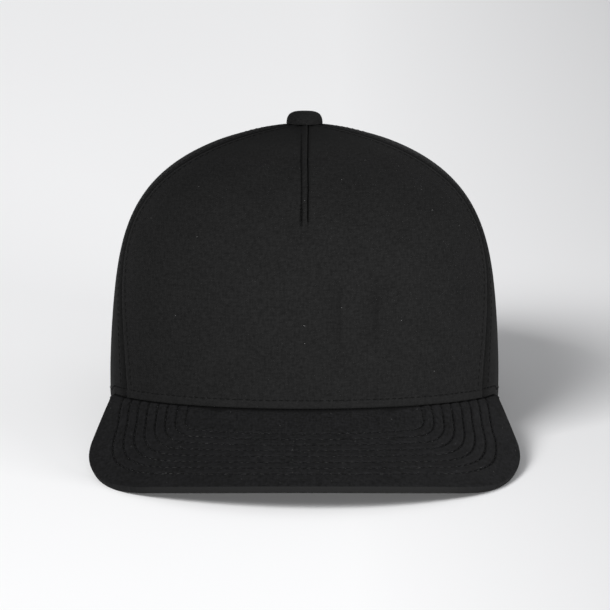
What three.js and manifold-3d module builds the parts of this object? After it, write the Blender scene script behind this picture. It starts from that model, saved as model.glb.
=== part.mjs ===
/*
 * A five-panel snapback cap with a stiff, slightly arched peak, in millimetres.
 *
 * The cap is drawn in its own frame: the edge of the mouth lies in the plane z = 0,
 * the front faces -Y, and y = 0 is the line where the mouth is widest. The whole cap
 * is then tipped back, because it rests on the two front corners of its peak and on
 * the back of its mouth, and moved so that the middle of its base is the origin.
 *
 * A place on the crown is given by an azimuth about the button, 0 at the front and
 * positive towards +X, and by a rise, 0 at the mouth's edge and 1 at the button.
 */
import * as THREE from "three";
import { mergeVertices } from "three/addons/utils/BufferGeometryUtils.js";
import Module from "manifold-3d";

const wasm = await Module();
wasm.setup();

// The mouth and the crown above it.
const MOUTH_HALF_WIDTH = 89.4;
const MOUTH_FRONT_LENGTH = 66;
const MOUTH_BACK_LENGTH = 122;
const MOUTH_FRONT_ROUNDNESS = 2;
const MOUTH_BACK_ROUNDNESS = 2.25;
const CROWN_HEIGHT = 119.7;
const BUTTON_Y = 25;
const TOP_ROUNDNESS = 1.58;
const FRONT_SHOULDER = 4.6;
const SIDE_SHOULDER = 5.87;
const BACK_SHOULDER = 3.1;
const CROWN_LEAN = 0.12;
const CROWN_LEAN_POWER = 1.5;
const TOP_RISE = 0.975;

// The cloth panels and the seams between them.
const PANEL_THICKNESS = 1.8;
const GAP = 0.3;
const FRONT_SEAM_AZIMUTH = radians(56.1);
const FRONT_SEAM_SWEEP = radians(10.6);
const FRONT_SEAM_SWEEP_POWER = 1.37;
const BACK_SEAM_AZIMUTH = radians(122);
const PANEL_ROWS = 15;

// The half-moon gap at the back.
const HALF_MOON_HALF_WIDTH = 38;
const HALF_MOON_HEIGHT = 46;

// The peak: a flat outline of arcs and lines, arched over the forehead.
const PEAK_LENGTH = 65.5;
const PEAK_HALF_WIDTH = 96.2;
const PEAK_FRONT_RADIUS = 145.5;
const PEAK_CORNER_RADIUS = 53.2;
const PEAK_SIDE_TAPER = radians(11.5);
const PEAK_TIP_BACK = 47.5;
const PEAK_TIP_Y = -15.5;
const PEAK_SLOPE = radians(22.2);
const PEAK_ARCH_RADIUS = 225.5;
const PEAK_THICKNESS = 3.5;
const PEAK_TUCK = 1.6;
const TIP_BLEND = 2;

// The covered button on the crown's top.
const BUTTON_RADIUS = 8.1;
const BUTTON_FOOT_RADIUS = 7.1;
const BUTTON_HEIGHT = 5.2;
const BUTTON_RIM_HEIGHT = 1.4;
const BUTTON_SAG = 0.35;
const SHANK_RADIUS = 1.7;
const SHANK_LENGTH = 2.6;

// The sweatband inside the mouth.
const SWEATBAND_INSET = PANEL_THICKNESS + 0.5;
const SWEATBAND_THICKNESS = 1;
const SWEATBAND_TOP = 32;
const SWEATBAND_END = radians(154);

// In front the sweatband drops to hide the peak's inner edge, and rises between these azimuths.
const SWEATBAND_DROP = 3.2;
const SWEATBAND_RISES_FROM = radians(57);
const SWEATBAND_LEVEL_FROM = radians(67);

// At the back it steps in, over the roots of the strap.
const SWEATBAND_STEP_IN = 1.7;
const SWEATBAND_STEPS_FROM = radians(137);
const SWEATBAND_STEPPED_FROM = radians(144);

// The plastic snap strap across the gap.
const STRAP_THICKNESS = 1.1;
const STRAP_BOTTOM = 3;
const STRAP_WIDTH = 15;
const STRAP_ROOT = radians(146);
const STRAP_INSET = PANEL_THICKNESS + 0.4;
const STRAP_OUTER_INSET = STRAP_INSET - STRAP_THICKNESS - 0.45;
const STRAP_CROSSES_FROM = radians(158);
const STRAP_CROSSED_FROM = radians(164);
const STRAP_END_LENGTH = radians(4.2);
const SNAP_COUNT = 7;
const SNAPS_FASTENED = 4;
const SNAP_PITCH = radians(4.6);
const LAST_SNAP = ((SNAPS_FASTENED - 1) / 2) * SNAP_PITCH;
const STRAP_PASS = LAST_SNAP + radians(3.1);
const PEG_RADIUS = 2;
const PEG_LENGTH = 2.6;
const HOLE_RADIUS = 2.5;
const HOLE_CUT_BEYOND = 2;

// How the cap rests.
const REST_TILT = radians(8.95);
const REST_FLATTENING = 0.5;

const CLOTH_BLACK = 0x262627;
const SWEATBAND_BLACK = 0x1d1d1e;
const PLASTIC_BLACK = 0x161617;

function radians(degrees) {
  return (degrees * Math.PI) / 180;
}

function mix(from, to, share) {
  return from + (to - from) * share;
}

function smoothstep(from, to, value) {
  const share = Math.min(Math.max((value - from) / (to - from), 0), 1);
  return share * share * (3 - 2 * share);
}

// The numbers from first to last in equal steps.
function steps(first, last, count) {
  return Array.from({ length: count + 1 }, (_, index) => mix(first, last, index / count));
}

// How far out of the mouth's middle a place lies: 1 on the mouth's edge.
function mouthShare(x, y) {
  const length = y > 0 ? MOUTH_BACK_LENGTH : MOUTH_FRONT_LENGTH;
  const roundness = y > 0 ? MOUTH_BACK_ROUNDNESS : MOUTH_FRONT_ROUNDNESS;
  return Math.abs(x / MOUTH_HALF_WIDTH) ** roundness + Math.abs(y / length) ** roundness;
}

// The distance from the button's foot to the edge of the mouth, found by halving.
function mouthReach(azimuth) {
  let inside = 0;
  let outside = 2 * MOUTH_BACK_LENGTH;
  for (let halving = 0; halving < 40; halving += 1) {
    const reach = (inside + outside) / 2;
    const share = mouthShare(reach * Math.sin(azimuth), BUTTON_Y - reach * Math.cos(azimuth));
    if (share < 1) {
      inside = reach;
    } else {
      outside = reach;
    }
  }
  return inside;
}

// How square the crown's shoulder is at an azimuth.
function shoulder(azimuth) {
  const end = Math.cos(azimuth) > 0 ? FRONT_SHOULDER : BACK_SHOULDER;
  return mix(SIDE_SHOULDER, end, Math.cos(azimuth) ** 2);
}

function crownSurface(azimuth, rise) {
  const power = shoulder(azimuth);
  const turn = (Math.PI / 2) * Math.max(rise, 0) ** (power / 2);
  const height = CROWN_HEIGHT * Math.sin(turn) ** (2 / power);
  const lean = 1 - CROWN_LEAN * (height / CROWN_HEIGHT) ** CROWN_LEAN_POWER;
  const reach = mouthReach(azimuth) * lean * Math.cos(turn) ** (2 / TOP_ROUNDNESS);
  return new THREE.Vector3(reach * Math.sin(azimuth), BUTTON_Y - reach * Math.cos(azimuth), height);
}

function riseAt(height, azimuth) {
  const power = shoulder(azimuth);
  const turn = Math.asin((Math.max(height, 0) / CROWN_HEIGHT) ** (power / 2));
  return (turn / (Math.PI / 2)) ** (2 / power);
}

function crownNormal(azimuth, rise) {
  const step = 1e-4;
  const middle = Math.max(rise, 0.02);
  const round = crownSurface(azimuth + step, middle).sub(crownSurface(azimuth - step, middle));
  const up = crownSurface(azimuth, middle + step).sub(crownSurface(azimuth, middle - step));
  return round.cross(up).normalize();
}

// A point on the crown, set in from its outer face and moved sideways by a seam's half gap.
function crownPoint(azimuth, rise, inset = 0, sideways = 0) {
  const along = new THREE.Vector3(Math.cos(azimuth), Math.sin(azimuth), 0);
  return crownSurface(azimuth, rise)
    .addScaledVector(crownNormal(azimuth, rise), -inset)
    .addScaledVector(along, sideways);
}

// A point on the lower crown by its height, which may be a little below the mouth's edge.
function wallPoint(azimuth, height, inset) {
  const point = crownPoint(azimuth, riseAt(height, azimuth), inset);
  point.z = height;
  return point;
}

// How far back the mouth's edge is at a distance from the middle plane.
function backEdge(x) {
  const across = (x / MOUTH_HALF_WIDTH) ** MOUTH_BACK_ROUNDNESS;
  return MOUTH_BACK_LENGTH * (1 - across) ** (1 / MOUTH_BACK_ROUNDNESS);
}

function backAzimuth(x) {
  return Math.atan2(x, BUTTON_Y - backEdge(x));
}

function geometryFrom(points, triangles) {
  const geometry = new THREE.BufferGeometry();
  geometry.setAttribute("position", new THREE.Float32BufferAttribute(points, 3));
  geometry.setIndex(triangles);
  return geometry;
}

function signedVolume(geometry) {
  const position = geometry.getAttribute("position");
  const index = geometry.getIndex();
  const corners = [0, 1, 2].map(() => new THREE.Vector3());
  let total = 0;
  for (let first = 0; first < index.count; first += 3) {
    corners.forEach((corner, offset) => corner.fromBufferAttribute(position, index.getX(first + offset)));
    total += corners[0].dot(corners[1].cross(corners[2])) / 6;
  }
  return total;
}

// A closed wall between an outer and an inner grid of points with the same rows and columns.
function wallBetween(outer, inner) {
  const columns = outer.length;
  const rows = outer[0].length;
  const points = [...outer.flat(), ...inner.flat()].flatMap((point) => point.toArray());
  const front = (column, row) => column * rows + row;
  const back = (column, row) => columns * rows + column * rows + row;
  const triangles = [];
  const quad = (a, b, c, d) => triangles.push(a, b, c, a, c, d);
  for (let column = 0; column < columns - 1; column += 1) {
    for (let row = 0; row < rows - 1; row += 1) {
      quad(front(column, row), front(column + 1, row), front(column + 1, row + 1), front(column, row + 1));
      quad(back(column, row), back(column, row + 1), back(column + 1, row + 1), back(column + 1, row));
    }
    const last = rows - 1;
    quad(front(column, 0), back(column, 0), back(column + 1, 0), front(column + 1, 0));
    quad(front(column, last), front(column + 1, last), back(column + 1, last), back(column, last));
  }
  for (let row = 0; row < rows - 1; row += 1) {
    const last = columns - 1;
    quad(front(0, row), front(0, row + 1), back(0, row + 1), back(0, row));
    quad(front(last, row), back(last, row), back(last, row + 1), front(last, row + 1));
  }
  const geometry = geometryFrom(points, triangles);
  return signedVolume(geometry) > 0 ? geometry : geometryFrom(points, triangles.reverse());
}

function toSolid(geometry) {
  const bare = geometry.clone();
  bare.deleteAttribute("normal");
  bare.deleteAttribute("uv");
  const merged = mergeVertices(bare);
  const mesh = new wasm.Mesh({
    numProp: 3,
    vertProperties: new Float32Array(merged.getAttribute("position").array),
    triVerts: new Uint32Array(merged.getIndex().array),
  });
  return new wasm.Manifold(mesh);
}

function toGeometry(solid) {
  const mesh = solid.getMesh();
  return geometryFrom(Array.from(mesh.vertProperties), Array.from(mesh.triVerts));
}

// The azimuth of the seam between the front and side panels, which sweeps back as it rises.
function frontSeam(rise) {
  return FRONT_SEAM_AZIMUTH + FRONT_SEAM_SWEEP * Math.sin(Math.PI * rise ** FRONT_SEAM_SWEEP_POWER);
}

// A cloth panel. Each column is its share of the way across and the height that it starts at.
function clothPanel(columns, azimuthAt) {
  const face = (inset) =>
    columns.map(({ share, start }) => {
      const sideways = mix(GAP / 2, -GAP / 2, share);
      const lowest = riseAt(start, azimuthAt(share, 0));
      return steps(lowest, TOP_RISE, PANEL_ROWS).map((rise) =>
        crownPoint(azimuthAt(share, rise), rise, inset, sideways),
      );
    });
  return wallBetween(face(0), face(PANEL_THICKNESS));
}

function frontPanel() {
  const columns = steps(0, 1, 18).map((share) => ({ share, start: 0 }));
  return clothPanel(columns, (share, rise) => mix(-frontSeam(rise), frontSeam(rise), share));
}

function sidePanel(side) {
  const columns = steps(0, 1, 11).map((share) => ({ share, start: 0 }));
  if (side > 0) {
    return clothPanel(columns, (share, rise) => mix(frontSeam(rise), BACK_SEAM_AZIMUTH, share));
  }
  return clothPanel(columns, (share, rise) => mix(-BACK_SEAM_AZIMUTH, -frontSeam(rise), share));
}

// A back panel, whose lower inner corner is cut away by half of the half-moon gap.
function backPanel(side) {
  const sweep = Math.PI - BACK_SEAM_AZIMUTH;
  const shareOf = (azimuth) => (azimuth - BACK_SEAM_AZIMUTH) / sweep;
  const hem = steps(0, shareOf(backAzimuth(HALF_MOON_HALF_WIDTH)), 5).map((share) => ({ share, start: 0 }));
  const arch = steps(0, Math.PI / 2, 8)
    .slice(1)
    .map((turn) => ({
      share: shareOf(backAzimuth(HALF_MOON_HALF_WIDTH * Math.cos(turn))),
      start: HALF_MOON_HEIGHT * Math.sin(turn),
    }));
  const columns = [...hem, ...arch];
  if (side > 0) {
    return clothPanel(columns, (share) => mix(BACK_SEAM_AZIMUTH, Math.PI, share));
  }
  const mirrored = columns.map(({ share, start }) => ({ share: 1 - share, start })).reverse();
  return clothPanel(mirrored, (share) => mix(-Math.PI, -BACK_SEAM_AZIMUTH, share));
}

// A point of the peak's flat outline, from its middle (0) to its tip (1) by length.
function peakOutline(share) {
  const reach = PEAK_FRONT_RADIUS - PEAK_CORNER_RADIUS;
  const frontCentre = PEAK_LENGTH - PEAK_FRONT_RADIUS;
  const cornerX = PEAK_HALF_WIDTH - PEAK_CORNER_RADIUS;
  const frontTurn = Math.asin(cornerX / reach);
  const cornerForward = frontCentre + reach * Math.cos(frontTurn);
  const cornerTurn = Math.PI / 2 + PEAK_SIDE_TAPER - frontTurn;
  const sideStart = cornerForward - PEAK_CORNER_RADIUS * Math.sin(PEAK_SIDE_TAPER);
  const lengths = [
    PEAK_FRONT_RADIUS * frontTurn,
    PEAK_CORNER_RADIUS * cornerTurn,
    (sideStart + PEAK_TIP_BACK) / Math.cos(PEAK_SIDE_TAPER),
  ];
  const travelled = share * (lengths[0] + lengths[1] + lengths[2]);
  if (travelled < lengths[0]) {
    const turn = travelled / PEAK_FRONT_RADIUS;
    return {
      x: PEAK_FRONT_RADIUS * Math.sin(turn),
      forward: frontCentre + PEAK_FRONT_RADIUS * Math.cos(turn),
    };
  }
  const turn = frontTurn + Math.min((travelled - lengths[0]) / PEAK_CORNER_RADIUS, cornerTurn);
  const side = Math.max(travelled - lengths[0] - lengths[1], 0);
  return {
    x: cornerX + PEAK_CORNER_RADIUS * Math.sin(turn) - side * Math.sin(PEAK_SIDE_TAPER),
    forward: cornerForward + PEAK_CORNER_RADIUS * Math.cos(turn) - side * Math.cos(PEAK_SIDE_TAPER),
  };
}

// The peak's outer edge in space: the outline sloped and arched, its tips drawn up to the mouth.
function peakEdge(share) {
  const { x, forward } = peakOutline(Math.abs(share));
  const arch = PEAK_ARCH_RADIUS - Math.sqrt(PEAK_ARCH_RADIUS ** 2 - x ** 2);
  const drop = forward * Math.sin(PEAK_SLOPE) + arch * Math.cos(PEAK_SLOPE);
  return new THREE.Vector3(
    Math.sign(share) * x,
    -MOUTH_FRONT_LENGTH - forward * Math.cos(PEAK_SLOPE) + arch * Math.sin(PEAK_SLOPE),
    -GAP - (drop + Math.sqrt(drop ** 2 + TIP_BLEND ** 2)) / 2,
  );
}

// The seam line where the crown meets the peak, or a line that runs inside it.
function peakSeam(share, inset = 0) {
  const turn = share * Math.acos(-PEAK_TIP_Y / MOUTH_FRONT_LENGTH);
  const inward = new THREE.Vector3(
    -Math.sin(turn) / MOUTH_HALF_WIDTH,
    Math.cos(turn) / MOUTH_FRONT_LENGTH,
    0,
  ).normalize();
  const onSeam = new THREE.Vector3(
    MOUTH_HALF_WIDTH * Math.sin(turn),
    -MOUTH_FRONT_LENGTH * Math.cos(turn),
    -GAP,
  );
  return onSeam.addScaledVector(inward, inset);
}

function peakTop(share, across) {
  return peakSeam(share).lerp(peakEdge(share), across);
}

function peakNormal(share, across) {
  const step = 1e-3;
  const along = peakTop(Math.min(share + step, 1), across).sub(peakTop(Math.max(share - step, -1), across));
  const outward = peakEdge(share).sub(peakSeam(share));
  return outward.cross(along).normalize();
}

function peak() {
  const lines = steps(-1, 1, 44);
  const bands = steps(0, 1, 7);
  const top = lines.map((share) => [
    peakSeam(share, PEAK_TUCK),
    ...bands.map((across) => peakTop(share, across)),
  ]);
  const under = lines.map((share) => {
    const normal = peakNormal(share, 0);
    const slope = Math.sqrt(1 - normal.z ** 2) / normal.z;
    const tucked = peakSeam(share, PEAK_TUCK);
    tucked.z -= PEAK_THICKNESS / normal.z - PEAK_TUCK * slope;
    return [
      tucked,
      ...bands.map((across) =>
        peakTop(share, across).addScaledVector(peakNormal(share, across), -PEAK_THICKNESS),
      ),
    ];
  });
  return wallBetween(top, under);
}

// A cloth-covered button: a flattened dome on a short shank that fills the hole in the crown.
function topButton() {
  const rim = steps(0, Math.PI / 2, 6).map((turn) => {
    const radius = BUTTON_RADIUS * Math.cos(turn) ** 0.6;
    const height = CROWN_HEIGHT + mix(BUTTON_RIM_HEIGHT, BUTTON_HEIGHT, Math.sin(turn) ** 0.8);
    return new THREE.Vector2(radius, height);
  });
  rim[rim.length - 1].x = 0;
  const profile = [
    new THREE.Vector2(0, CROWN_HEIGHT - SHANK_LENGTH),
    new THREE.Vector2(SHANK_RADIUS, CROWN_HEIGHT - SHANK_LENGTH),
    new THREE.Vector2(SHANK_RADIUS, CROWN_HEIGHT + GAP),
    new THREE.Vector2(BUTTON_FOOT_RADIUS, CROWN_HEIGHT + GAP - BUTTON_SAG),
    ...rim,
  ];
  const geometry = new THREE.LatheGeometry(profile, 20).rotateX(Math.PI / 2).translate(0, BUTTON_Y, 0);
  return toGeometry(toSolid(geometry));
}

function sweatband() {
  const inset = (azimuth) =>
    SWEATBAND_INSET +
    SWEATBAND_STEP_IN * smoothstep(SWEATBAND_STEPS_FROM, SWEATBAND_STEPPED_FROM, Math.abs(azimuth));
  const bottom = (azimuth) =>
    mix(-SWEATBAND_DROP, GAP, smoothstep(SWEATBAND_RISES_FROM, SWEATBAND_LEVEL_FROM, Math.abs(azimuth)));
  const face = (depth) =>
    steps(-SWEATBAND_END, SWEATBAND_END, 60).map((azimuth) =>
      steps(bottom(azimuth), SWEATBAND_TOP, 3).map((height) =>
        wallPoint(azimuth, height, inset(azimuth) + depth),
      ),
    );
  return wallBetween(face(0), face(SWEATBAND_THICKNESS));
}

// A plastic strip from its root under a back panel to a rounded end past the middle.
function strapStrip(side, insetAt) {
  const length = Math.PI + STRAP_PASS - STRAP_ROOT;
  const straightLength = length - STRAP_END_LENGTH;
  const straight = steps(0, straightLength, 14);
  const rounded = steps(0, Math.PI * 0.42, 5)
    .slice(1)
    .map((turn) => straightLength + STRAP_END_LENGTH * Math.sin(turn));
  const face = (depth) =>
    [...straight, ...rounded].map((along) => {
      const azimuth = side * (STRAP_ROOT + along);
      const pastStraight = Math.max(along - straightLength, 0) / STRAP_END_LENGTH;
      const half = (STRAP_WIDTH / 2) * Math.sqrt(1 - pastStraight ** 2);
      const middle = STRAP_BOTTOM + STRAP_WIDTH / 2;
      return steps(middle - half, middle + half, 2).map((height) =>
        wallPoint(azimuth, height, insetAt(STRAP_ROOT + along) + depth),
      );
    });
  return toSolid(wallBetween(face(0), face(STRAP_THICKNESS)));
}

// A round bar through the strap wall, for a peg or for cutting a hole.
function snapBar(azimuth, radius, firstInset, lastInset) {
  const height = STRAP_BOTTOM + STRAP_WIDTH / 2;
  const from = wallPoint(azimuth, height, firstInset);
  const to = wallPoint(azimuth, height, lastInset);
  const axis = to.clone().sub(from);
  const bar = new THREE.CylinderGeometry(radius, radius, axis.length(), 12);
  const turn = new THREE.Quaternion().setFromUnitVectors(new THREE.Vector3(0, 1, 0), axis.normalize());
  bar.applyQuaternion(turn);
  const middle = from.lerp(to, 0.5);
  return toSolid(bar.translate(middle.x, middle.y, middle.z));
}

function snapAzimuths(side) {
  return Array.from({ length: SNAP_COUNT }, (_, index) => side * (Math.PI + LAST_SNAP - index * SNAP_PITCH));
}

function strapWithPegs() {
  let strip = strapStrip(-1, () => STRAP_INSET);
  for (const azimuth of snapAzimuths(-1)) {
    const peg = snapBar(azimuth, PEG_RADIUS, STRAP_INSET + STRAP_THICKNESS / 2, STRAP_INSET - PEG_LENGTH);
    strip = strip.add(peg);
  }
  return toGeometry(strip);
}

function strapWithHoles() {
  const inset = (azimuth) =>
    mix(STRAP_INSET, STRAP_OUTER_INSET, smoothstep(STRAP_CROSSES_FROM, STRAP_CROSSED_FROM, azimuth));
  const firstCut = STRAP_OUTER_INSET - HOLE_CUT_BEYOND;
  const lastCut = STRAP_INSET + STRAP_THICKNESS + HOLE_CUT_BEYOND;
  let strip = strapStrip(1, inset);
  for (const azimuth of snapAzimuths(1)) {
    strip = strip.subtract(snapBar(azimuth, HOLE_RADIUS, firstCut, lastCut));
  }
  return toGeometry(strip);
}

// The height above the table of a point in the cap's own frame, were its hem not flattened.
function restHeight(point) {
  const behind = backEdge(HALF_MOON_HALF_WIDTH) - point.y;
  return point.z * Math.cos(REST_TILT) + behind * Math.sin(REST_TILT) - REST_FLATTENING;
}

// Cuts off what the table would press flat, which leaves the facets that the cap rests on.
function flattenedOnTable(geometry) {
  const size = 600;
  const table = new THREE.BoxGeometry(size, size, size);
  const up = new THREE.Vector3(0, -Math.sin(REST_TILT), Math.cos(REST_TILT));
  const depth = -restHeight(new THREE.Vector3(0, 0, 0)) - size / 2;
  table.rotateX(REST_TILT);
  table.translate(up.x * depth, up.y * depth, up.z * depth);
  return toGeometry(toSolid(geometry).subtract(toSolid(table)));
}

function cloth(color, roughness) {
  return new THREE.MeshStandardMaterial({ color, roughness, metalness: 0 });
}

function named(name, geometry, material) {
  const mesh = new THREE.Mesh(geometry, material);
  mesh.name = name;
  return mesh;
}

const tilted = new THREE.Group();
tilted.rotation.x = -REST_TILT;
tilted.add(named("front_panel", frontPanel(), cloth(CLOTH_BLACK, 0.92)));
tilted.add(named("side_panel_left", sidePanel(-1), cloth(CLOTH_BLACK, 0.92)));
tilted.add(named("side_panel_right", sidePanel(1), cloth(CLOTH_BLACK, 0.92)));
tilted.add(named("back_panel_left", flattenedOnTable(backPanel(-1)), cloth(CLOTH_BLACK, 0.92)));
tilted.add(named("back_panel_right", flattenedOnTable(backPanel(1)), cloth(CLOTH_BLACK, 0.92)));
tilted.add(named("top_button", topButton(), cloth(CLOTH_BLACK, 0.92)));
tilted.add(named("peak", flattenedOnTable(peak()), cloth(CLOTH_BLACK, 0.92)));
tilted.add(named("sweatband", sweatband(), cloth(SWEATBAND_BLACK, 0.85)));
tilted.add(named("strap_pegs", strapWithPegs(), cloth(PLASTIC_BLACK, 0.45)));
tilted.add(named("strap_holes", strapWithHoles(), cloth(PLASTIC_BLACK, 0.45)));

const cap = new THREE.Group();
cap.add(tilted);
cap.updateMatrixWorld(true);
const reach = new THREE.Box3().setFromObject(cap, true);
tilted.position.set(-(reach.min.x + reach.max.x) / 2, -(reach.min.y + reach.max.y) / 2, -reach.min.z);

export default cap;
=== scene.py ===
# %% [markdown]
# # A black five-panel snapback cap
# The cap is cut from cotton twill, sewn over a stiff front and a board in the peak, and
# rests on the two front corners of its peak and on the back of its mouth.
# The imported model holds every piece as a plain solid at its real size. This file dresses
# them: rolled seams, rows of stitches, the dart, the weave and the light.

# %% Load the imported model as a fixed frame
import math

import bpy
import numpy as np
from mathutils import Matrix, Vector


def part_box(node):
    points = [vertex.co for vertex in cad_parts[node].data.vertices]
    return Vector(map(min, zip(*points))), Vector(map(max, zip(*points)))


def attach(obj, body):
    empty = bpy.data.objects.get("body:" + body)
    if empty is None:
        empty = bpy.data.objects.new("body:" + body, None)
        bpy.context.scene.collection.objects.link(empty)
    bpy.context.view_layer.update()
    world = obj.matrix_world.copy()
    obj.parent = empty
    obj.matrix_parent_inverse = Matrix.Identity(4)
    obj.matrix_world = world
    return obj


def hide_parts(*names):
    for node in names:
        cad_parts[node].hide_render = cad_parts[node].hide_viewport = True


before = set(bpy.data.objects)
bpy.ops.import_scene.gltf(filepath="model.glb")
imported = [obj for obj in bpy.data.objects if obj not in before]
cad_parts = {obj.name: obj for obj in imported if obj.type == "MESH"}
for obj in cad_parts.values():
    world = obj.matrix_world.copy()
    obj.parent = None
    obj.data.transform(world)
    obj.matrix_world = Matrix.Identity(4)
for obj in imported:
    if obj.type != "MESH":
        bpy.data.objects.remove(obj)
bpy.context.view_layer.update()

MM = 0.001
random_numbers = np.random.default_rng(7)
print("CAD nodes:", sorted(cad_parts))

# %% [markdown]
# ## The crown as a formula
# A cap's crown is a flat pattern sewn into a dome. It could be sculpted, or traced with many
# points, but a formula keeps all five panels on one smooth dome and lets seams, stitches and
# relief be placed by real distances. The mouth is two half ovals, wider behind than in front.
# From each place on the mouth a curve climbs to the button, steep at first and then round.
# A place is given by its azimuth about the button (0 in front, positive to the right) and by
# its rise (0 at the mouth, 1 under the button). All of this is in millimetres, in the cap's
# own frame, where the mouth's edge lies in the plane z = 0.

# %% Sizes of the crown, in millimetres
MOUTH_HALF_WIDTH = 89.4
MOUTH_FRONT_LENGTH = 66.0
MOUTH_BACK_LENGTH = 122.0
MOUTH_FRONT_ROUNDNESS = 2.0
MOUTH_BACK_ROUNDNESS = 2.25
CROWN_HEIGHT = 119.7
BUTTON_Y = 25.0
TOP_ROUNDNESS = 1.58
FRONT_SHOULDER = 4.6
SIDE_SHOULDER = 5.87
BACK_SHOULDER = 3.1
CROWN_LEAN = 0.12
CROWN_LEAN_POWER = 1.5
TOP_RISE = 0.975
GAP = 0.3
HALVINGS = 32


# %% The dome
def mouth_reach(azimuth):
    """The distance from the button's foot to the mouth's edge, found by halving."""
    inside = np.zeros_like(azimuth)
    outside = np.full_like(azimuth, 2 * MOUTH_BACK_LENGTH)
    for _ in range(HALVINGS):
        reach = (inside + outside) / 2
        across = np.abs(reach * np.sin(azimuth)) / MOUTH_HALF_WIDTH
        y = BUTTON_Y - reach * np.cos(azimuth)
        length = np.where(y > 0, MOUTH_BACK_LENGTH, MOUTH_FRONT_LENGTH)
        power = np.where(y > 0, MOUTH_BACK_ROUNDNESS, MOUTH_FRONT_ROUNDNESS)
        short = across**power + (np.abs(y) / length) ** power < 1
        inside = np.where(short, reach, inside)
        outside = np.where(short, outside, reach)
    return inside


def shoulder(azimuth):
    """How square the dome's shoulder is."""
    end = np.where(np.cos(azimuth) > 0, FRONT_SHOULDER, BACK_SHOULDER)
    return SIDE_SHOULDER + (end - SIDE_SHOULDER) * np.cos(azimuth) ** 2


def crown_surface(azimuth, rise):
    """Points of the crown in the cap's own frame, in mm."""
    azimuth, rise = np.broadcast_arrays(np.asarray(azimuth, float), np.asarray(rise, float))
    power = shoulder(azimuth)
    turn = math.pi / 2 * np.clip(rise, 0, 1) ** (power / 2)
    height = CROWN_HEIGHT * np.sin(turn) ** (2 / power)
    lean = 1 - CROWN_LEAN * (height / CROWN_HEIGHT) ** CROWN_LEAN_POWER
    reach = mouth_reach(azimuth) * lean * np.clip(np.cos(turn), 0, 1) ** (2 / TOP_ROUNDNESS)
    return np.stack([reach * np.sin(azimuth), BUTTON_Y - reach * np.cos(azimuth), height], axis=-1)


def unit(vectors):
    return vectors / np.maximum(np.linalg.norm(vectors, axis=-1, keepdims=True), 1e-12)


def crown_normal(azimuth, rise):
    """The outward direction of the crown, from two short steps along its surface."""
    step = 1e-4
    middle = np.clip(rise, 0.02, 1 - 2 * step)
    round_way = crown_surface(azimuth + step, middle) - crown_surface(azimuth - step, middle)
    up_way = crown_surface(azimuth, middle + step) - crown_surface(azimuth, middle - step)
    return unit(np.cross(round_way, up_way))


def rise_at(height, azimuth):
    """The rise at which the crown has a height, in mm."""
    power = shoulder(azimuth)
    turn = np.arcsin((np.clip(height, 0, CROWN_HEIGHT) / CROWN_HEIGHT) ** (power / 2))
    return (turn / (math.pi / 2)) ** (2 / power)


def back_edge(x):
    """How far back the mouth's edge is at a distance from the middle plane."""
    share = np.clip(np.abs(x) / MOUTH_HALF_WIDTH, 0, 1)
    return MOUTH_BACK_LENGTH * (1 - share**MOUTH_BACK_ROUNDNESS) ** (1 / MOUTH_BACK_ROUNDNESS)


def back_azimuth(x):
    """The azimuth at which the mouth's back edge is this far from the middle plane."""
    return np.arctan2(x, BUTTON_Y - back_edge(x))


# %% [markdown]
# ## From the cap's own frame to the table
# The cap is tipped back by its rest tilt, and the frame says where it then stands. The
# foremost point of the front panel is the front of the mouth, and the lowest point of a side
# panel is its back lower corner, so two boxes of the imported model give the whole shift.
# Cloth that would reach below the table is pressed flat on it.

# %% The place of the cap
REST_TILT = math.radians(8.95)
FRONT_SEAM_AZIMUTH = math.radians(56.1)
FRONT_SEAM_SWEEP = math.radians(10.6)
FRONT_SEAM_SWEEP_POWER = 1.37
BACK_SEAM_AZIMUTH = math.radians(122)

side_corner = crown_surface(BACK_SEAM_AZIMUTH, 0.0)
side_corner_y = side_corner[1] - GAP / 2 * math.sin(BACK_SEAM_AZIMUTH)
SHIFT_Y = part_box("front_panel")[0].y / MM + MOUTH_FRONT_LENGTH * math.cos(REST_TILT)
SHIFT_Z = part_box("side_panel_right")[0].z / MM + side_corner_y * math.sin(REST_TILT)


def on_table(points):
    """Points of the cap's own frame, in mm, as places in the frame, in metres."""
    x, y, z = np.moveaxis(np.asarray(points, float), -1, 0)
    back = y * math.cos(REST_TILT) + z * math.sin(REST_TILT) + SHIFT_Y
    up = z * math.cos(REST_TILT) - y * math.sin(REST_TILT) + SHIFT_Z
    return np.stack([x, back, np.maximum(up, 0)], axis=-1) * MM


print(f"the mouth's middle stands {SHIFT_Y:.2f} mm behind the origin and {SHIFT_Z:.2f} mm up")

# %% [markdown]
# ## Small helpers for modelling
# Cloth walls start as a primitive grid, whose vertices are then moved to their places on the
# dome. A Solidify modifier gives the sheet its other face and the rim between them. The
# inner face is then pulled smooth, because at a rolled seam the two faces would cross.
# Every cloth vertex also has its place on the flat cloth, for the weave, and where needed the
# share, from 0 to 1, of painted shade and of painted highlight.

# %% A grid, a wall, and a closed piece
def deselect_all():
    if bpy.context.object and bpy.context.object.mode != "OBJECT":
        bpy.ops.object.mode_set(mode="OBJECT")
    bpy.ops.object.select_all(action="DESELECT")


def apply_modifier(piece, kind, **settings):
    """Adds a modifier to a piece with these settings and applies it."""
    deselect_all()
    bpy.context.view_layer.objects.active = piece
    piece.select_set(True)
    modifier = piece.modifiers.new(kind.lower(), kind)
    for setting, value in settings.items():
        setattr(modifier, setting, value)
    bpy.ops.object.modifier_apply(modifier=modifier.name)


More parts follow.
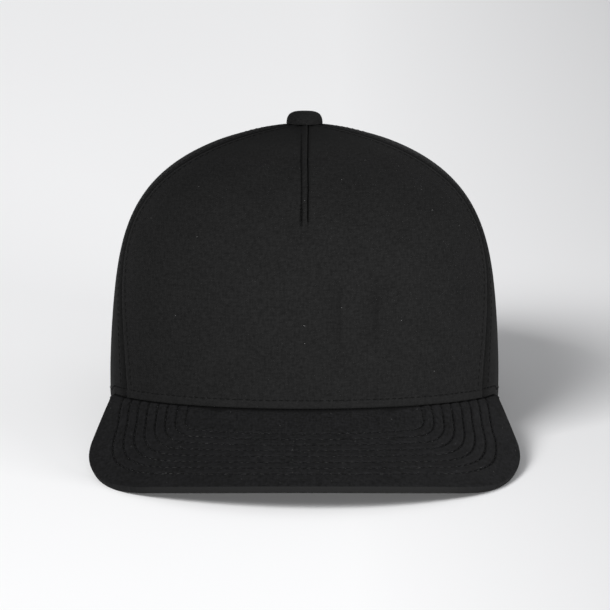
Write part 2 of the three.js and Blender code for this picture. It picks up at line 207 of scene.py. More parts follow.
def move_vertices(piece, places, first=0):
    """Moves the vertices from number first on to these places, in metres."""
    now = np.empty(len(piece.data.vertices) * 3, np.float32)
    piece.data.vertices.foreach_get("co", now)
    now = now.reshape(-1, 3)
    flat = places.reshape(-1, 3)
    now[first:first + len(flat)] = flat
    piece.data.vertices.foreach_set("co", now.ravel())
    piece.data.update()


def write_uv(piece, vertex_uv, name="cloth"):
    """Gives each face corner its vertex's place on the flat cloth, in metres."""
    corner = np.empty(len(piece.data.loops), np.int32)
    piece.data.loops.foreach_get("vertex_index", corner)
    layer = piece.data.uv_layers[0]
    layer.name = name
    layer.data.foreach_set("uv", vertex_uv.reshape(-1, 2)[corner].astype(np.float32).ravel())


def write_share(piece, name, shares):
    """Writes a share from 0 to 1 on the first vertices of a piece, and 0 on the rest."""
    values = np.zeros(len(piece.data.vertices), np.float32)
    values[:shares.size] = np.clip(shares, 0, 1).ravel()
    piece.data.attributes.new(name, "FLOAT", "POINT").data.foreach_set("value", values)


def grid_of(name, places, flat):
    """A primitive grid moved to places[row, column], with its flat cloth places in mm."""
    rows, columns = places.shape[:2]
    deselect_all()
    bpy.ops.mesh.primitive_grid_add(
        x_subdivisions=columns - 1, y_subdivisions=rows - 1, size=1, calc_uvs=True
    )
    piece = bpy.context.object
    piece.name = piece.data.name = name
    move_vertices(piece, places)
    write_uv(piece, flat * MM)
    return piece


def cloth_wall(name, outer, inner, flat):
    """A closed cloth wall between two grids of places."""
    piece = grid_of(name, outer, flat)
    count = outer.shape[0] * outer.shape[1]
    apply_modifier(piece, "SOLIDIFY", thickness=MM, offset=-1, use_rim=True)
    move_vertices(piece, inner, first=count)
    return piece


def edit(piece, *steps):
    """Selects all of a piece in edit mode and runs these steps."""
    deselect_all()
    bpy.context.view_layer.objects.active = piece
    piece.select_set(True)
    bpy.ops.object.mode_set(mode="EDIT")
    bpy.ops.mesh.select_all(action="SELECT")
    for step in steps:
        step()
    bpy.ops.object.mode_set(mode="OBJECT")


def merge_doubles():
    bpy.ops.mesh.remove_doubles(threshold=1e-6)


def face_outwards():
    bpy.ops.mesh.normals_make_consistent(inside=False)


def smooth(piece, degrees):
    """Shades a piece smooth, except over edges sharper than this."""
    deselect_all()
    bpy.context.view_layer.objects.active = piece
    piece.select_set(True)
    bpy.ops.object.shade_smooth_by_angle(angle=math.radians(degrees))


def settle(piece, slot, material, *nodes):
    """Gives a piece its finish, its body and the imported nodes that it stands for."""
    piece.data.materials.clear()
    piece.data.materials.append(material)
    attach(piece, "root")
    if nodes:
        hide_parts(*nodes)
    triangles = sum(len(face.vertices) - 2 for face in piece.data.polygons)
    print(f"{piece.name}: {triangles} triangles")


# %% [markdown]
# ## Small helpers for materials
# Every finish is built from nodes. One function adds a node with its settings and its
# links, and one turns the hex value of an sRGB colour into the linear light of a shader.

# %% Nodes and colours
def linear(hex_value):
    """An sRGB colour such as "#26262a" as linear light with full alpha."""
    parts = [int(hex_value[i:i + 2], 16) / 255 for i in (1, 3, 5)]
    light = [p / 12.92 if p <= 0.04045 else ((p + 0.055) / 1.055) ** 2.4 for p in parts]
    return (*light, 1.0)


def new_material(name):
    """An empty node material and its tree."""
    material = bpy.data.materials.new(name)
    material.use_nodes = True
    material.node_tree.nodes.clear()
    return material, material.node_tree


def add(tree, kind, inputs=None, **settings):
    """Adds a node. An input is a plain value, or a node's output to link from."""
    node = tree.nodes.new("ShaderNode" + kind)
    for setting, value in settings.items():
        setattr(node, setting, value)
    for socket, value in (inputs or {}).items():
        if isinstance(value, bpy.types.NodeSocket):
            tree.links.new(value, node.inputs[socket])
        else:
            node.inputs[socket].default_value = value
    return node


# %% [markdown]
# ## Black cotton twill
# The cloth is piece-dyed cotton twill: dull, with a fine diagonal rib about half a
# millimetre apart, threads of uneven thickness that give faint streaks both ways, and a
# short fuzz that catches light at a grazing angle. Now and then a pale fibre sticks to it.
# Shade that falls in seams, in the dart and creases, along stitched rows, under the button and
# beside the crown is painted near black into the cloth's colour, and a painted highlight lightens
# the hem's folded strip and the front of the peak's rim. Both are written on the vertices of each
# piece, because they follow its seams and not the weave.
# The pattern follows the cloth's own flat places, so it turns with each panel.

# %% The twill
# The real rib is about 0.5 mm and the real threads 0.3 mm apart, finer than a pixel here.
TWILL_SPACING = 1.0 * MM
THREAD_STREAK = (0.95 * MM, 2.6 * MM)
MOTTLE_SIZE = 14 * MM
LINT_CELL = 5.5 * MM
LINT_SIZE = 0.03
WAVE_PERIOD = math.pi / 10
RIB_ANGLE = math.radians(58)
PALE_FIBRE = "#585858"
# Tones of the painted highlight and of the painted shade.
HIGHLIGHT_TONE = "#171717"
SHADE_TONE = "#010101"


def twill(name, dark, light, rib_depth, lint):
    """Twill of two tones. Lint is the share of its cells that hold a pale fibre."""
    material, tree = new_material(name)
    place = add(tree, "UVMap", uv_map="cloth").outputs["UV"]

    diagonal = add(tree, "Mapping", {"Vector": place, "Rotation": (0, 0, RIB_ANGLE)})
    rib = add(tree, "TexWave", {
        "Vector": diagonal.outputs["Vector"], "Scale": WAVE_PERIOD / TWILL_SPACING,
        "Distortion": 1.2, "Detail": 1.0, "Detail Scale": 0.6,
    }, wave_type="BANDS", bands_direction="X")

    streaks = []
    for thin, long in (THREAD_STREAK, THREAD_STREAK[::-1]):
        stretched = add(tree, "Mapping", {"Vector": place, "Scale": (1 / thin, 1 / long, 1)})
        noise = add(tree, "TexNoise", {
            "Vector": stretched.outputs["Vector"], "Scale": 1.0, "Detail": 2.0,
        })
        streaks.append(noise.outputs["Fac"])
    threads = add(tree, "Math", {0: streaks[0], 1: streaks[1]}, operation="ADD")
    mottle = add(tree, "TexNoise", {"Vector": place, "Scale": 1 / MOTTLE_SIZE, "Detail": 1.0})
    shade = add(tree, "Math", {
        0: mottle.outputs["Fac"], 1: 0.3, 2: threads.outputs[0],
    }, operation="MULTIPLY_ADD")
    spread = add(tree, "MapRange", {
        "Value": shade.outputs[0], "From Min": 0.85, "From Max": 1.45, "To Min": 0.0, "To Max": 1.0,
    })
    ribbed = add(tree, "Math", {
        0: rib.outputs["Fac"], 1: 0.1, 2: spread.outputs["Result"],
    }, operation="MULTIPLY_ADD")
    colour = add(tree, "Mix", {
        "Factor": ribbed.outputs[0], 6: linear(dark), 7: linear(light),
    }, data_type="RGBA", clamp_factor=True)

    cells = add(tree, "TexVoronoi", {
        "Vector": place, "Scale": 1 / LINT_CELL,
    }, voronoi_dimensions="2D", feature="F1")
    speck = add(tree, "Math", {0: cells.outputs["Distance"], 1: LINT_SIZE}, operation="LESS_THAN")
    hue = add(tree, "SeparateColor", {"Color": cells.outputs["Color"]})
    chosen = add(tree, "Math", {0: hue.outputs["Red"], 1: lint}, operation="LESS_THAN")
    fibre = add(tree, "Math", {0: speck.outputs[0], 1: chosen.outputs[0]}, operation="MULTIPLY")
    flecked = add(tree, "Mix", {
        "Factor": fibre.outputs[0], 6: colour.outputs[2], 7: linear(PALE_FIBRE),
    }, data_type="RGBA")
    # The painted highlight and the painted shade, each mixed in by a share on the vertices.
    for attribute, tone in (("painted_highlight", HIGHLIGHT_TONE), ("painted_shade", SHADE_TONE)):
        share = add(tree, "Attribute", attribute_name=attribute)
        flecked = add(tree, "Mix", {
            "Factor": share.outputs["Fac"], 6: flecked.outputs[2], 7: linear(tone),
        }, data_type="RGBA")

    height = add(tree, "Math", {0: rib.outputs["Fac"], 1: threads.outputs[0]}, operation="ADD")
    relief = add(tree, "Bump", {
        "Height": height.outputs[0], "Strength": 0.7, "Distance": rib_depth,
    })
    shader = add(tree, "BsdfPrincipled", {
        "Base Color": flecked.outputs[2], "Normal": relief.outputs["Normal"],
        "Roughness": 0.9, "Specular IOR Level": 0.08,
        "Sheen Weight": 0.008, "Sheen Roughness": 0.45,
    })
    add(tree, "OutputMaterial", {"Surface": shader.outputs["BSDF"]})
    return material


CROWN_TWILL = twill("black_cotton_twill", "#0b0b0b", "#151515", 0.05 * MM, 0.02)
PEAK_TWILL = twill("black_cotton_twill_peak", "#060606", "#181819", 0.05 * MM, 0.12)
BAND_TWILL = twill("black_sweatband_twill", "#0b0b0b", "#131314", 0.04 * MM, 0.01)

# %% [markdown]
# ## Sewing thread
# The seams are topstitched with spun polyester thread. It is a little smoother than the
# cloth, so its stitches catch faint glints, and its two plies show as a slow twist.

# %% The thread
def thread(name, dark, light, roughness, gloss):
    """Thread of two tones, whose plies wind round each stitch."""
    material, tree = new_material(name)
    along = add(tree, "UVMap", uv_map="thread").outputs["UV"]
    plies = add(tree, "TexWave", {
        "Vector": along, "Scale": 1.6, "Distortion": 0.6,
    }, wave_type="BANDS", bands_direction="DIAGONAL")
    tone = add(tree, "Mix", {
        "Factor": plies.outputs["Fac"], 6: linear(dark), 7: linear(light),
    }, data_type="RGBA")
    relief = add(tree, "Bump", {
        "Height": plies.outputs["Fac"], "Strength": 0.5, "Distance": 0.06 * MM,
    })
    shader = add(tree, "BsdfPrincipled", {
        "Base Color": tone.outputs[2], "Normal": relief.outputs["Normal"],
        "Roughness": roughness, "Specular IOR Level": gloss,
    })
    add(tree, "OutputMaterial", {"Surface": shader.outputs["BSDF"]})
    return material


CROWN_THREAD = thread("black_spun_thread", "#060606", "#0e0e0e", 0.8, 0.06)
PEAK_THREAD = thread("black_polyester_thread", "#020202", "#060606", 0.28, 0.4)

# %% [markdown]
# ## Moulded plastic
# The snap strap is injection-moulded polyethylene: smooth and slightly waxy, with a
# satin gloss that is a little uneven where fingers have handled it.

# %% The plastic
def moulded_plastic(name, dark, light):
    """Plastic with a slow cloud in its colour and gloss, and a fine grain."""
    material, tree = new_material(name)
    place = add(tree, "TexCoord").outputs["Object"]
    cloud = add(tree, "TexNoise", {"Vector": place, "Scale": 1 / (9 * MM), "Detail": 4.0})
    grain = add(tree, "TexNoise", {"Vector": place, "Scale": 1 / (0.35 * MM), "Detail": 2.0})
    colour = add(tree, "Mix", {
        "Factor": cloud.outputs["Fac"], 6: linear(dark), 7: linear(light),
    }, data_type="RGBA")
    gloss = add(tree, "MapRange", {
        "Value": cloud.outputs["Fac"], "From Min": 0.3, "From Max": 0.7,
        "To Min": 0.34, "To Max": 0.48,
    })
    relief = add(tree, "Bump", {
        "Height": grain.outputs["Fac"], "Strength": 0.25, "Distance": 0.02 * MM,
    })
    shader = add(tree, "BsdfPrincipled", {
        "Base Color": colour.outputs[2], "Roughness": gloss.outputs["Result"],
        "Normal": relief.outputs["Normal"], "IOR": 1.5,
    })
    add(tree, "OutputMaterial", {"Surface": shader.outputs["BSDF"]})
    return material


STRAP_PLASTIC = moulded_plastic("black_moulded_polyethylene", "#0f0f10", "#19191a")

# %% [markdown]
# ## The relief of sewn cloth
# Two panels are sewn face to face and opened out. The cloth rolls down into the seam, the
# hidden seam allowance lifts a narrow strip on each side, and a row of topstitches presses
# it down again. The hem is the same: a folded strip, and above it a row of stitches. Each
# is a profile over the distance from the edge, and the sum is added along the surface normal.

# %% Profiles over a distance in mm
SEAM_STITCH = 4.4
SEAM_ROLL = 1.45
SEAM_ROLL_REACH = 0.55
SEAM_STRIP = 0.22
SEAM_GROOVE = 0.2
HEM_STITCH = 3.7
ARCH_STITCH = 4.6
HEM_ROLL = 0.45
HEM_ROLL_REACH = 0.3
HEM_STRIP = 0.32
SIDE_HEM_STRIP = 0.1
HEM_GROOVE = 0.34
GROOVE_REACH = 0.4


def bump_at(distance, centre, width):
    """A bell of height 1 about a distance."""
    return np.exp(-(((distance - centre) / width) ** 2))


def strip_until(distance, end, fade):
    """1 on the strip beside an edge, fading to 0 past its end."""
    share = np.clip((distance - end + fade / 2) / fade, 0, 1)
    return 1 - share * share * (3 - 2 * share)


def seam_relief(distance):
    """The roll, the raised strip and the stitched groove beside a seam."""
    roll = -SEAM_ROLL * np.exp(-np.maximum(distance, 0) / SEAM_ROLL_REACH)
    strip = SEAM_STRIP * strip_until(distance, SEAM_STITCH + 0.5, 1.0)
    stitched = -SEAM_GROOVE * bump_at(distance, SEAM_STITCH, GROOVE_REACH)
    return roll + strip + stitched


def hem_relief(distance, stitch, raised=HEM_STRIP):
    """The same beside a folded edge, whose stitches lie this far in."""
    roll = -HEM_ROLL * np.exp(-np.maximum(distance, 0) / HEM_ROLL_REACH)
    strip = raised * strip_until(distance, stitch + 0.35, 0.8)
    stitched = -HEM_GROOVE * bump_at(distance, stitch, GROOVE_REACH)
    return roll + strip + stitched


# %% [markdown]
# ## A panel's own measure
# The panels narrow towards the button, but a seam's roll keeps its width. So each panel
# knows how long its rows are, and places a column by its distance in mm from the left
# seam, the middle or the right seam. The side seams run slantwise, and a row's step is
# lengthened there, so that the distance is the one straight away from the seam.

# %% Panels and their rows
LEVELS = np.linspace(0, TOP_RISE, 121)
SAMPLES = np.linspace(0, 1, 241)


def front_seam(rise):
    """The azimuth of the right front seam, which swings back on its way to the button."""
    sweep = np.sin(math.pi * np.clip(rise, 0, 1) ** FRONT_SEAM_SWEEP_POWER)
    return FRONT_SEAM_AZIMUTH + FRONT_SEAM_SWEEP * sweep


def lengths_along(points, axis):
    """The length walked along a line of points up to each of them."""
    steps = np.linalg.norm(np.diff(points, axis=axis), axis=-1)
    start = np.zeros_like(np.take(steps, [0], axis=axis))
    return np.concatenate([start, np.cumsum(steps, axis=axis)], axis=axis)


class Panel:
    """A panel between two seams, each a function that gives its azimuth at a rise."""

    def __init__(self, left, right):
        self.left, self.right = left, right
        points = crown_surface(self.azimuth(SAMPLES[None, :], LEVELS[:, None]), LEVELS[:, None])
        lengths = lengths_along(points, axis=1)
        self.widths = lengths[:, -1]
        rows = zip(lengths, self.widths)
        self.shares = np.array([np.interp(SAMPLES * width, row, SAMPLES) for row, width in rows])
        self.slants = [self.slant(points, 0, 1), self.slant(points, -1, -2)]

    def azimuth(self, share, rise):
        """The azimuth at a share of the way from the left to the right seam."""
        left, right = self.left(rise), self.right(rise)
        return left + (right - left) * share

    def slant(self, points, edge, beside):
        """How much longer a step along the rows is than one straight away from a seam."""
        seam = unit(np.gradient(points[:, edge], axis=0))
        row = unit(points[:, beside] - points[:, edge])
        return np.clip(1 / np.linalg.norm(np.cross(seam, row), axis=-1), 1, 2)

    def distances(self, rise, anchors, offsets):
        """Distances along the rows from the left seam, for columns given by an anchor and mm."""
        width = np.interp(rise, LEVELS, self.widths)
        left, right = (np.interp(rise, LEVELS, slant) for slant in self.slants)
        stretch = np.where(anchors == 0, left, np.where(anchors == 1, right, 1.0))
        return np.clip(anchors * width + offsets * stretch, 0, width)

    def share_at(self, rise, distance):
        """The share at a distance along the rows, looked up between the measured levels."""
        width = np.interp(rise, LEVELS, self.widths)
        level = np.clip(rise / TOP_RISE, 0, 1) * (len(LEVELS) - 1)
        sample = np.clip(distance / width, 0, 1) * (len(SAMPLES) - 1)
        low, first = (np.minimum(np.floor(v), top).astype(int) for v, top in (
            (level, len(LEVELS) - 2), (sample, len(SAMPLES) - 2)))
        up, along = level - low, sample - first
        lower = self.shares[low, first] * (1 - along) + self.shares[low, first + 1] * along
        upper = self.shares[low + 1, first] * (1 - along) + self.shares[low + 1, first + 1] * along
        return lower * (1 - up) + upper * up

    def beside_seams(self, rise, distance):
        """Straight distances in mm from the left and the right seam."""
        width = np.interp(rise, LEVELS, self.widths)
        left, right = (np.interp(rise, LEVELS, slant) for slant in self.slants)
        return distance / left, (width - distance) / right


def steady(angle):
    """A seam that keeps one azimuth all the way up."""
    return lambda rise: np.full_like(np.asarray(rise, float), angle)


PANELS = {
    "front_panel": Panel(lambda rise: -front_seam(rise), front_seam),
    "side_panel_left": Panel(steady(-BACK_SEAM_AZIMUTH), lambda rise: -front_seam(rise)),
    "side_panel_right": Panel(front_seam, steady(BACK_SEAM_AZIMUTH)),
    "back_panel_left": Panel(steady(-math.pi), steady(-BACK_SEAM_AZIMUTH)),
    "back_panel_right": Panel(steady(BACK_SEAM_AZIMUTH), steady(math.pi)),
}
for panel_name, panel in PANELS.items():
    print(f"{panel_name}: {panel.widths[0]:.0f} mm wide at the mouth")

# %% [markdown]
# ## The dart
# A five-panel cap has no seam down its front. The cloth's fullness under the button is
# taken up by a dart: a pinch of cloth folded to one side and topstitched, a little under
# 3 mm wide and nearly a third of the front's height. The fold is on the right and the
# stitches on the left, and they end in a few stitches sewn over each other. Lower down,
# the stiff front keeps two faint upright creases.

# %% The dart and the creases
DART_STITCH = -1.35
DART_FOLD = 1.3
FOLD_LINE = DART_FOLD + 0.18
DART_LOWEST = 80.3
DART_TOP = 116.5
DART_FADE = 2.5
DART_LIFT = 0.36
DART_FOLD_DEPTH = 0.9
DART_GROOVE = 0.5
TACK_LENGTH = 8.5


def within_dart(height):
    """1 on the dart's length, fading to 0 at its lower end."""
    return np.clip((height - DART_LOWEST) / DART_FADE, 0, 1)


def row_strength(height):
    """How strongly the dart's stitches show: they fade towards the button."""
    return np.clip((DART_TOP - height) / 6, 0.3, 1)


def dart_relief(across, height):
    """Relief beside the middle line of the front panel, in mm. The dart wavers a little."""
    across = across + 0.1 * np.sin(0.31 * height) + 0.06 * np.sin(0.83 * height + 1)
    lifted = DART_LIFT * ((across > DART_STITCH) & (across < DART_FOLD))
    soft_left = np.clip((across - DART_STITCH) / 0.6, 0, 1)
    fold = -DART_FOLD_DEPTH * bump_at(across, FOLD_LINE, 0.26)
    stitched = -DART_GROOVE * bump_at(across, DART_STITCH, 0.32) * row_strength(height)
    return within_dart(height) * (lifted * soft_left + fold + stitched)


CREASES = (16.1, 32.9)
CREASE_HEIGHTS = (22.0, 60.0)
CREASE_FADE = 12.0
CREASE_DEPTH = 0.35
CREASE_LENGTH = 3.4
CREASE_EDGE = 0.9
CREASE_SHADE = 0.3


def creases(across, height):
    """1 along two faint upright creases low on the front, fading out to the left of each."""
    low, high = CREASE_HEIGHTS
    above = np.clip((height - low) / CREASE_FADE, 0, 1)
    below = np.clip((high - height) / CREASE_FADE, 0, 1)
    ramps = []
    for place in CREASES:
        fading = np.exp(-np.maximum(place - across, 0) / CREASE_LENGTH)
        ramps.append(fading * np.clip((place + CREASE_EDGE - across) / CREASE_EDGE, 0, 1))
    return above * below * np.maximum(*ramps)


def drape(azimuth, height):
    """The slow unevenness of pressed cloth, in mm."""
    slow = np.sin(3.1 * azimuth + 0.035 * height) * np.sin(0.045 * height + 0.7)
    slower = np.sin(1.7 * azimuth - 0.02 * height + 1.9)
    return 0.1 * slow + 0.08 * slower


# %% [markdown]
# ## The crown panels
# Each panel is one grid. Its columns and rows lie close together beside seams, hem and
# dart, where the relief is sharp, and wide apart between them. Neighbours overlap by a hair
# at the bottom of their seam, so that no light shows through it. The back panels also start
# higher up under the half-moon gap, whose folded edge has its own strip and stitches.
# Behind the peak's tips the hem hangs a few millimetres lower, and under the button and
# beside the front seams the cloth is drawn in.

# %% Columns and rows
SEAM_COLUMNS = np.array([
    0, 0.12, 0.28, 0.5, 0.8, 1.2, 1.8, 2.7, 3.5, 3.9, 4.15, 4.4, 4.65, 5, 5.6, 6.6,
])
HEM_ROWS = np.array([0, 0.15, 0.4, 0.8, 1.4, 2.2, 2.9, 3.3, 3.55, 3.8, 4.1, 4.5, 5.2, 6.4])
DART_COLUMNS = np.array([
    -3.2, -2.3, -1.85, -1.6, -1.35, -1.1, -0.85, -0.6, 0, 0.6, 0.95, 1.15, 1.28, 1.38, 1.48,
    1.6, 1.75, 2.1, 3.2,
])
PANEL_ROWS = 96
HALF_MOON_HALF_WIDTH = 38.0
HALF_MOON_HEIGHT = 46.0
INNER_INSET = 1.8
SEAM_OVERLAP = 0.08
SEAM_SHADOW = 0.75
SIDE_STRIP_SHADE = 0.38
SIDE_SINK = 0.5
SIDE_SINK_REACH = 2.2
TOP_SHADE = 0.4
TOP_SHADE_START = 111.0
TOP_SINK = 0.35
TOP_SINK_START = 112.0
HEM_HIGHLIGHT = 0.22
HEM_DRAWN_IN = 0.28
HEM_DROP = 3.7
HEM_DROP_REACH = 14.0
HEM_DROP_DEGREES = (64.0, 118.0)
HEM_DROP_FADES = (4.0, 25.0)


def hem_drop(azimuth, height):
    """How far the hem hangs below the mouth's plane at the sides, behind the peak, in mm."""
    turn = np.degrees(np.abs(azimuth))
    first, last = HEM_DROP_DEGREES
    growing, fading = HEM_DROP_FADES
    beside = np.clip((turn - first) / growing, 0, 1) * np.clip((last - turn) / fading, 0, 1)
    return HEM_DROP * beside * np.exp(-height / HEM_DROP_REACH)


def columns_between(groups, fills):
    """Joins groups of columns, each an anchor array and an offset array, with even ones."""
    anchors, offsets = [], []
    for (anchor, offset), fill in zip(groups, [*fills, 0]):
        anchors.append(anchor)
        offsets.append(offset)
        anchors.append(np.full(fill, np.nan))
        offsets.append(np.full(fill, np.nan))
    return np.concatenate(anchors), np.concatenate(offsets)


def fill_gaps(values):
    """Straight lines through the columns that have no place of their own."""
    known = ~np.isnan(values[0])
    index = np.arange(values.shape[1])
    return np.array([np.interp(index, index[known], row[known]) for row in values])


def start_heights(x):
    """The height of a back panel's lower edge over a place on the mouth's edge."""
    return HALF_MOON_HEIGHT * np.sqrt(np.clip(1 - (x / HALF_MOON_HALF_WIDTH) ** 2, 0, 1))


def above_arch(x, height):
    """The distance from the half-moon gap's edge, outside it."""
    share_x, share_z = x / HALF_MOON_HALF_WIDTH, height / HALF_MOON_HEIGHT
    level = np.sqrt(share_x**2 + share_z**2)
    slope = np.sqrt((share_x / HALF_MOON_HALF_WIDTH) ** 2 + (share_z / HALF_MOON_HEIGHT) ** 2)
    return (level - 1) * level / np.maximum(slope, 1e-9)


def from_front_seam(name, left, right):
    """A side panel's distances from the seam that it shares with the front panel."""
    return right if name.endswith("left") else left


def dart_shade_share(across, height):
    """The share of painted shade in the dart's fold and along its stitches."""
    in_tack = np.clip((DART_LOWEST + TACK_LENGTH - height) / 2, 0, 1)
    stitched = (0.8 + 0.2 * in_tack) * bump_at(across, DART_STITCH, 0.3 + 0.18 * in_tack)
    folded = bump_at(across, FOLD_LINE, 0.36)
    return within_dart(height) * np.maximum(folded, stitched * row_strength(height))


def painted_shade_share(name, panel, rise, distance, height):
    """The share of painted shade in a seam, under the button, beside a side panel's front seam, in
    the dart or a crease.
    """
    left, right = panel.beside_seams(rise, distance)
    width = SEAM_SHADOW * (1 + (height / CROWN_HEIGHT) ** 2)
    share = np.maximum(bump_at(left, 0, width), bump_at(right, 0, width))
    share = np.maximum(share, TOP_SHADE * np.clip((height - TOP_SHADE_START) / 8, 0, 1))
    if name.startswith("side"):
        strip = strip_until(from_front_seam(name, left, right), SEAM_STITCH + 1.2, 2.4)
        share = np.maximum(share, SIDE_STRIP_SHADE * strip)
    if name == "front_panel":
        across = distance - np.interp(rise, LEVELS, panel.widths) / 2
        share = np.maximum(share, dart_shade_share(across, height))
        share = np.maximum(share, CREASE_SHADE * creases(across, height))
    return share


def panel_relief(name, panel, azimuth, rise, distance, height):
    """All of a panel's relief over the smooth dome, in mm."""
    left, right = panel.beside_seams(rise, distance)
    relief = seam_relief(left) + seam_relief(right) + drape(azimuth, height)
    relief = relief - TOP_SINK * np.clip((height - TOP_SINK_START) / 6, 0, 1)
    relief = relief - HEM_DRAWN_IN * hem_drop(azimuth, height)
    if name.startswith("back"):
        mouth = crown_surface(azimuth, 0.0)
        beside_gap = above_arch(mouth[..., 0], height)
        edge = np.minimum(height, beside_gap)
        hem = np.where(height < beside_gap, hem_relief(height, HEM_STITCH),
                       hem_relief(beside_gap, ARCH_STITCH))
        near = np.clip(edge / 0.6, 0, 1)
        return relief * (0.4 + 0.6 * near) + hem
    if name.startswith("side"):
        relief = relief - SIDE_SINK * np.exp(-from_front_seam(name, left, right) / SIDE_SINK_REACH)
        return relief + hem_relief(height, HEM_STITCH, SIDE_HEM_STRIP)
    if name == "front_panel":
        width = np.interp(rise, LEVELS, panel.widths)
        across = distance - width / 2
        relief = relief + dart_relief(across, height) - CREASE_DEPTH * creases(across, height)
    return relief + hem_relief(height, HEM_STITCH)


def panel_cloth(name, groups, fills, column_starts=None):
    """One panel's cloth. Its columns start at the hem, or at a height of their own."""
    panel = PANELS[name]
    anchors, offsets = columns_between(groups, fills)
    lowest = np.zeros(len(anchors))
    if column_starts:
        lowest = column_starts(panel, anchors, offsets)
    middle = panel.azimuth(0.5, 0.0)
    hem = rise_at(lowest[None, :] + HEM_ROWS[:, None], middle)
    higher = np.linspace(0, 1, PANEL_ROWS)[1:, None]
    above = hem[-1] + (TOP_RISE - hem[-1]) * higher
    rise = np.concatenate([hem, above])
    distance = fill_gaps(panel.distances(rise, anchors, offsets))
    azimuth = panel.azimuth(panel.share_at(rise, distance), rise)
    base = crown_surface(azimuth, rise)
    normal = crown_normal(azimuth, rise)
    height = base[..., 2].copy()
    base[..., 2] -= hem_drop(azimuth, height)
    relief = panel_relief(name, panel, azimuth, rise, distance, height)
    sideways = np.stack([np.cos(azimuth), np.sin(azimuth), np.zeros_like(azimuth)], axis=-1)
    width = np.interp(rise, LEVELS, panel.widths)
    closing = -SEAM_OVERLAP * (1 - 2 * distance / width)
    outer = base + normal * relief[..., None] + sideways * closing[..., None]
    inner = base - normal * INNER_INSET + sideways * closing[..., None]
    up = lengths_along(base, axis=0)
    flat = np.stack([distance - width / 2, up], axis=-1)
    piece = cloth_wall(name + "_cloth", on_table(outer), on_table(inner), flat)
    # Painted shade in the seams, the dart, the creases and under the button.
    write_share(piece, "painted_shade", painted_shade_share(name, panel, rise, distance, height))
    # A painted highlight on the hem's folded strip.
    on_hem = strip_until(height, HEM_STITCH - 0.5, 0.6) * np.clip(height / 0.8, 0, 1)
    write_share(piece, "painted_highlight", HEM_HIGHLIGHT * on_hem)
    return piece


# %% Front and side panels
LEFT_SEAM = (np.zeros(len(SEAM_COLUMNS)), SEAM_COLUMNS)
RIGHT_SEAM = (np.ones(len(SEAM_COLUMNS)), -SEAM_COLUMNS[::-1])
DART = (np.full(len(DART_COLUMNS), 0.5), DART_COLUMNS)
# There are more columns to the right of the dart, where the creases are.
FRONT_FILLS = [44, 104]
SIDE_FILLS = [52]

front_cloth = panel_cloth("front_panel", [LEFT_SEAM, DART, RIGHT_SEAM], FRONT_FILLS)
side_cloths = [
    panel_cloth("side_panel_" + side, [LEFT_SEAM, RIGHT_SEAM], SIDE_FILLS)
    for side in ("left", "right")
]

# %% Back panels with the half-moon gap
ARCH_COLUMNS = 40
ARCH_NEAREST = 5.5
BACK_FILL = 26
ARCH_BESIDE = np.array([0.15, 0.4, 0.8, 1.4, 2.2, 3.2, 3.9, 4.3, 4.6, 4.9, 5.4, 6.2, 7.4])


def back_groups(name):
    """Columns by the place where they meet the mouth's edge, from 180 to 122 degrees."""
    panel = PANELS[name]
    turns = np.linspace(0, math.acos(ARCH_NEAREST / HALF_MOON_HALF_WIDTH), ARCH_COLUMNS)
    x = np.concatenate([
        HALF_MOON_HALF_WIDTH + ARCH_BESIDE[::-1], HALF_MOON_HALF_WIDTH * np.cos(turns),
    ])
    azimuth = back_azimuth(x)
    side = 1 if name.endswith("right") else -1
    share = (side * azimuth - panel.left(0.0)) / (panel.right(0.0) - panel.left(0.0))
    anchors = np.interp(share, panel.shares[0], SAMPLES)[::side]
    fills = [BACK_FILL, 0] if side > 0 else [0, BACK_FILL]
    return [LEFT_SEAM, (anchors, np.zeros(len(anchors))), RIGHT_SEAM], fills


def arch_starts(panel, anchors, offsets):
    """The height at which each column of a back panel starts."""
    distance = fill_gaps(panel.distances(np.zeros((1, 1)), anchors, offsets))[0]
    azimuth = panel.azimuth(panel.share_at(np.zeros_like(distance), distance), 0.0)
    x = crown_surface(azimuth, 0.0)[..., 0]
    return start_heights(x)


back_cloths = []
for back_name in ("back_panel_left", "back_panel_right"):
    groups, fills = back_groups(back_name)
    back_cloths.append(panel_cloth(back_name, groups, fills, arch_starts))

for cloth in (front_cloth, *side_cloths, *back_cloths):
    edit(cloth, face_outwards)
    smooth(cloth, 60)
    settle(cloth, "black_twill", CROWN_TWILL, cloth.name.removesuffix("_cloth"))

# %% [markdown]
# ## Stitches
# A lockstitch shows as a short length of thread that dips into the cloth at both ends. One
# stitch is modelled from a small sphere, drawn out and bent, and its shape is then repeated
# along each row as part of one joined mesh: about 1,800 stitches would be too many
# objects, and a painted dash wouldn't catch the light.

# %% One stitch
STITCH_PITCH = 3.0
STITCH_DIP = 0.3
STITCH_FULLNESS = 0.75
STITCH_SHARES = (0.76, 0.86)
STITCH_TURN = 0.05
TANGENT_STEP = 0.6
THREAD_THICKNESS = 0.4


def model_stitch():
    """One stitch of length 1 along x, width 1 across y and height 1, in its own units."""
    deselect_all()
    bpy.ops.mesh.primitive_uv_sphere_add(segments=6, ring_count=6, radius=0.5)
    piece = bpy.context.object
    bpy.ops.object.mode_set(mode="EDIT")
    bpy.ops.mesh.select_all(action="SELECT")
    bpy.ops.transform.rotate(value=math.radians(90), orient_axis="Y", center_override=(0, 0, 0))
    bpy.ops.object.mode_set(mode="OBJECT")
    places = np.array([vertex.co for vertex in piece.data.vertices])
    places[:, 0] = np.sign(places[:, 0]) * np.abs(places[:, 0] * 2) ** STITCH_FULLNESS / 2
    faces = [list(face.vertices) for face in piece.data.polygons]
    around = np.arctan2(places[:, 2], places[:, 1]) / (2 * math.pi)
    bpy.data.objects.remove(piece)
    return places, faces, np.stack([places[:, 0] * 2, around], axis=-1)


STITCH_PLACES, STITCH_FACES, STITCH_UV = model_stitch()


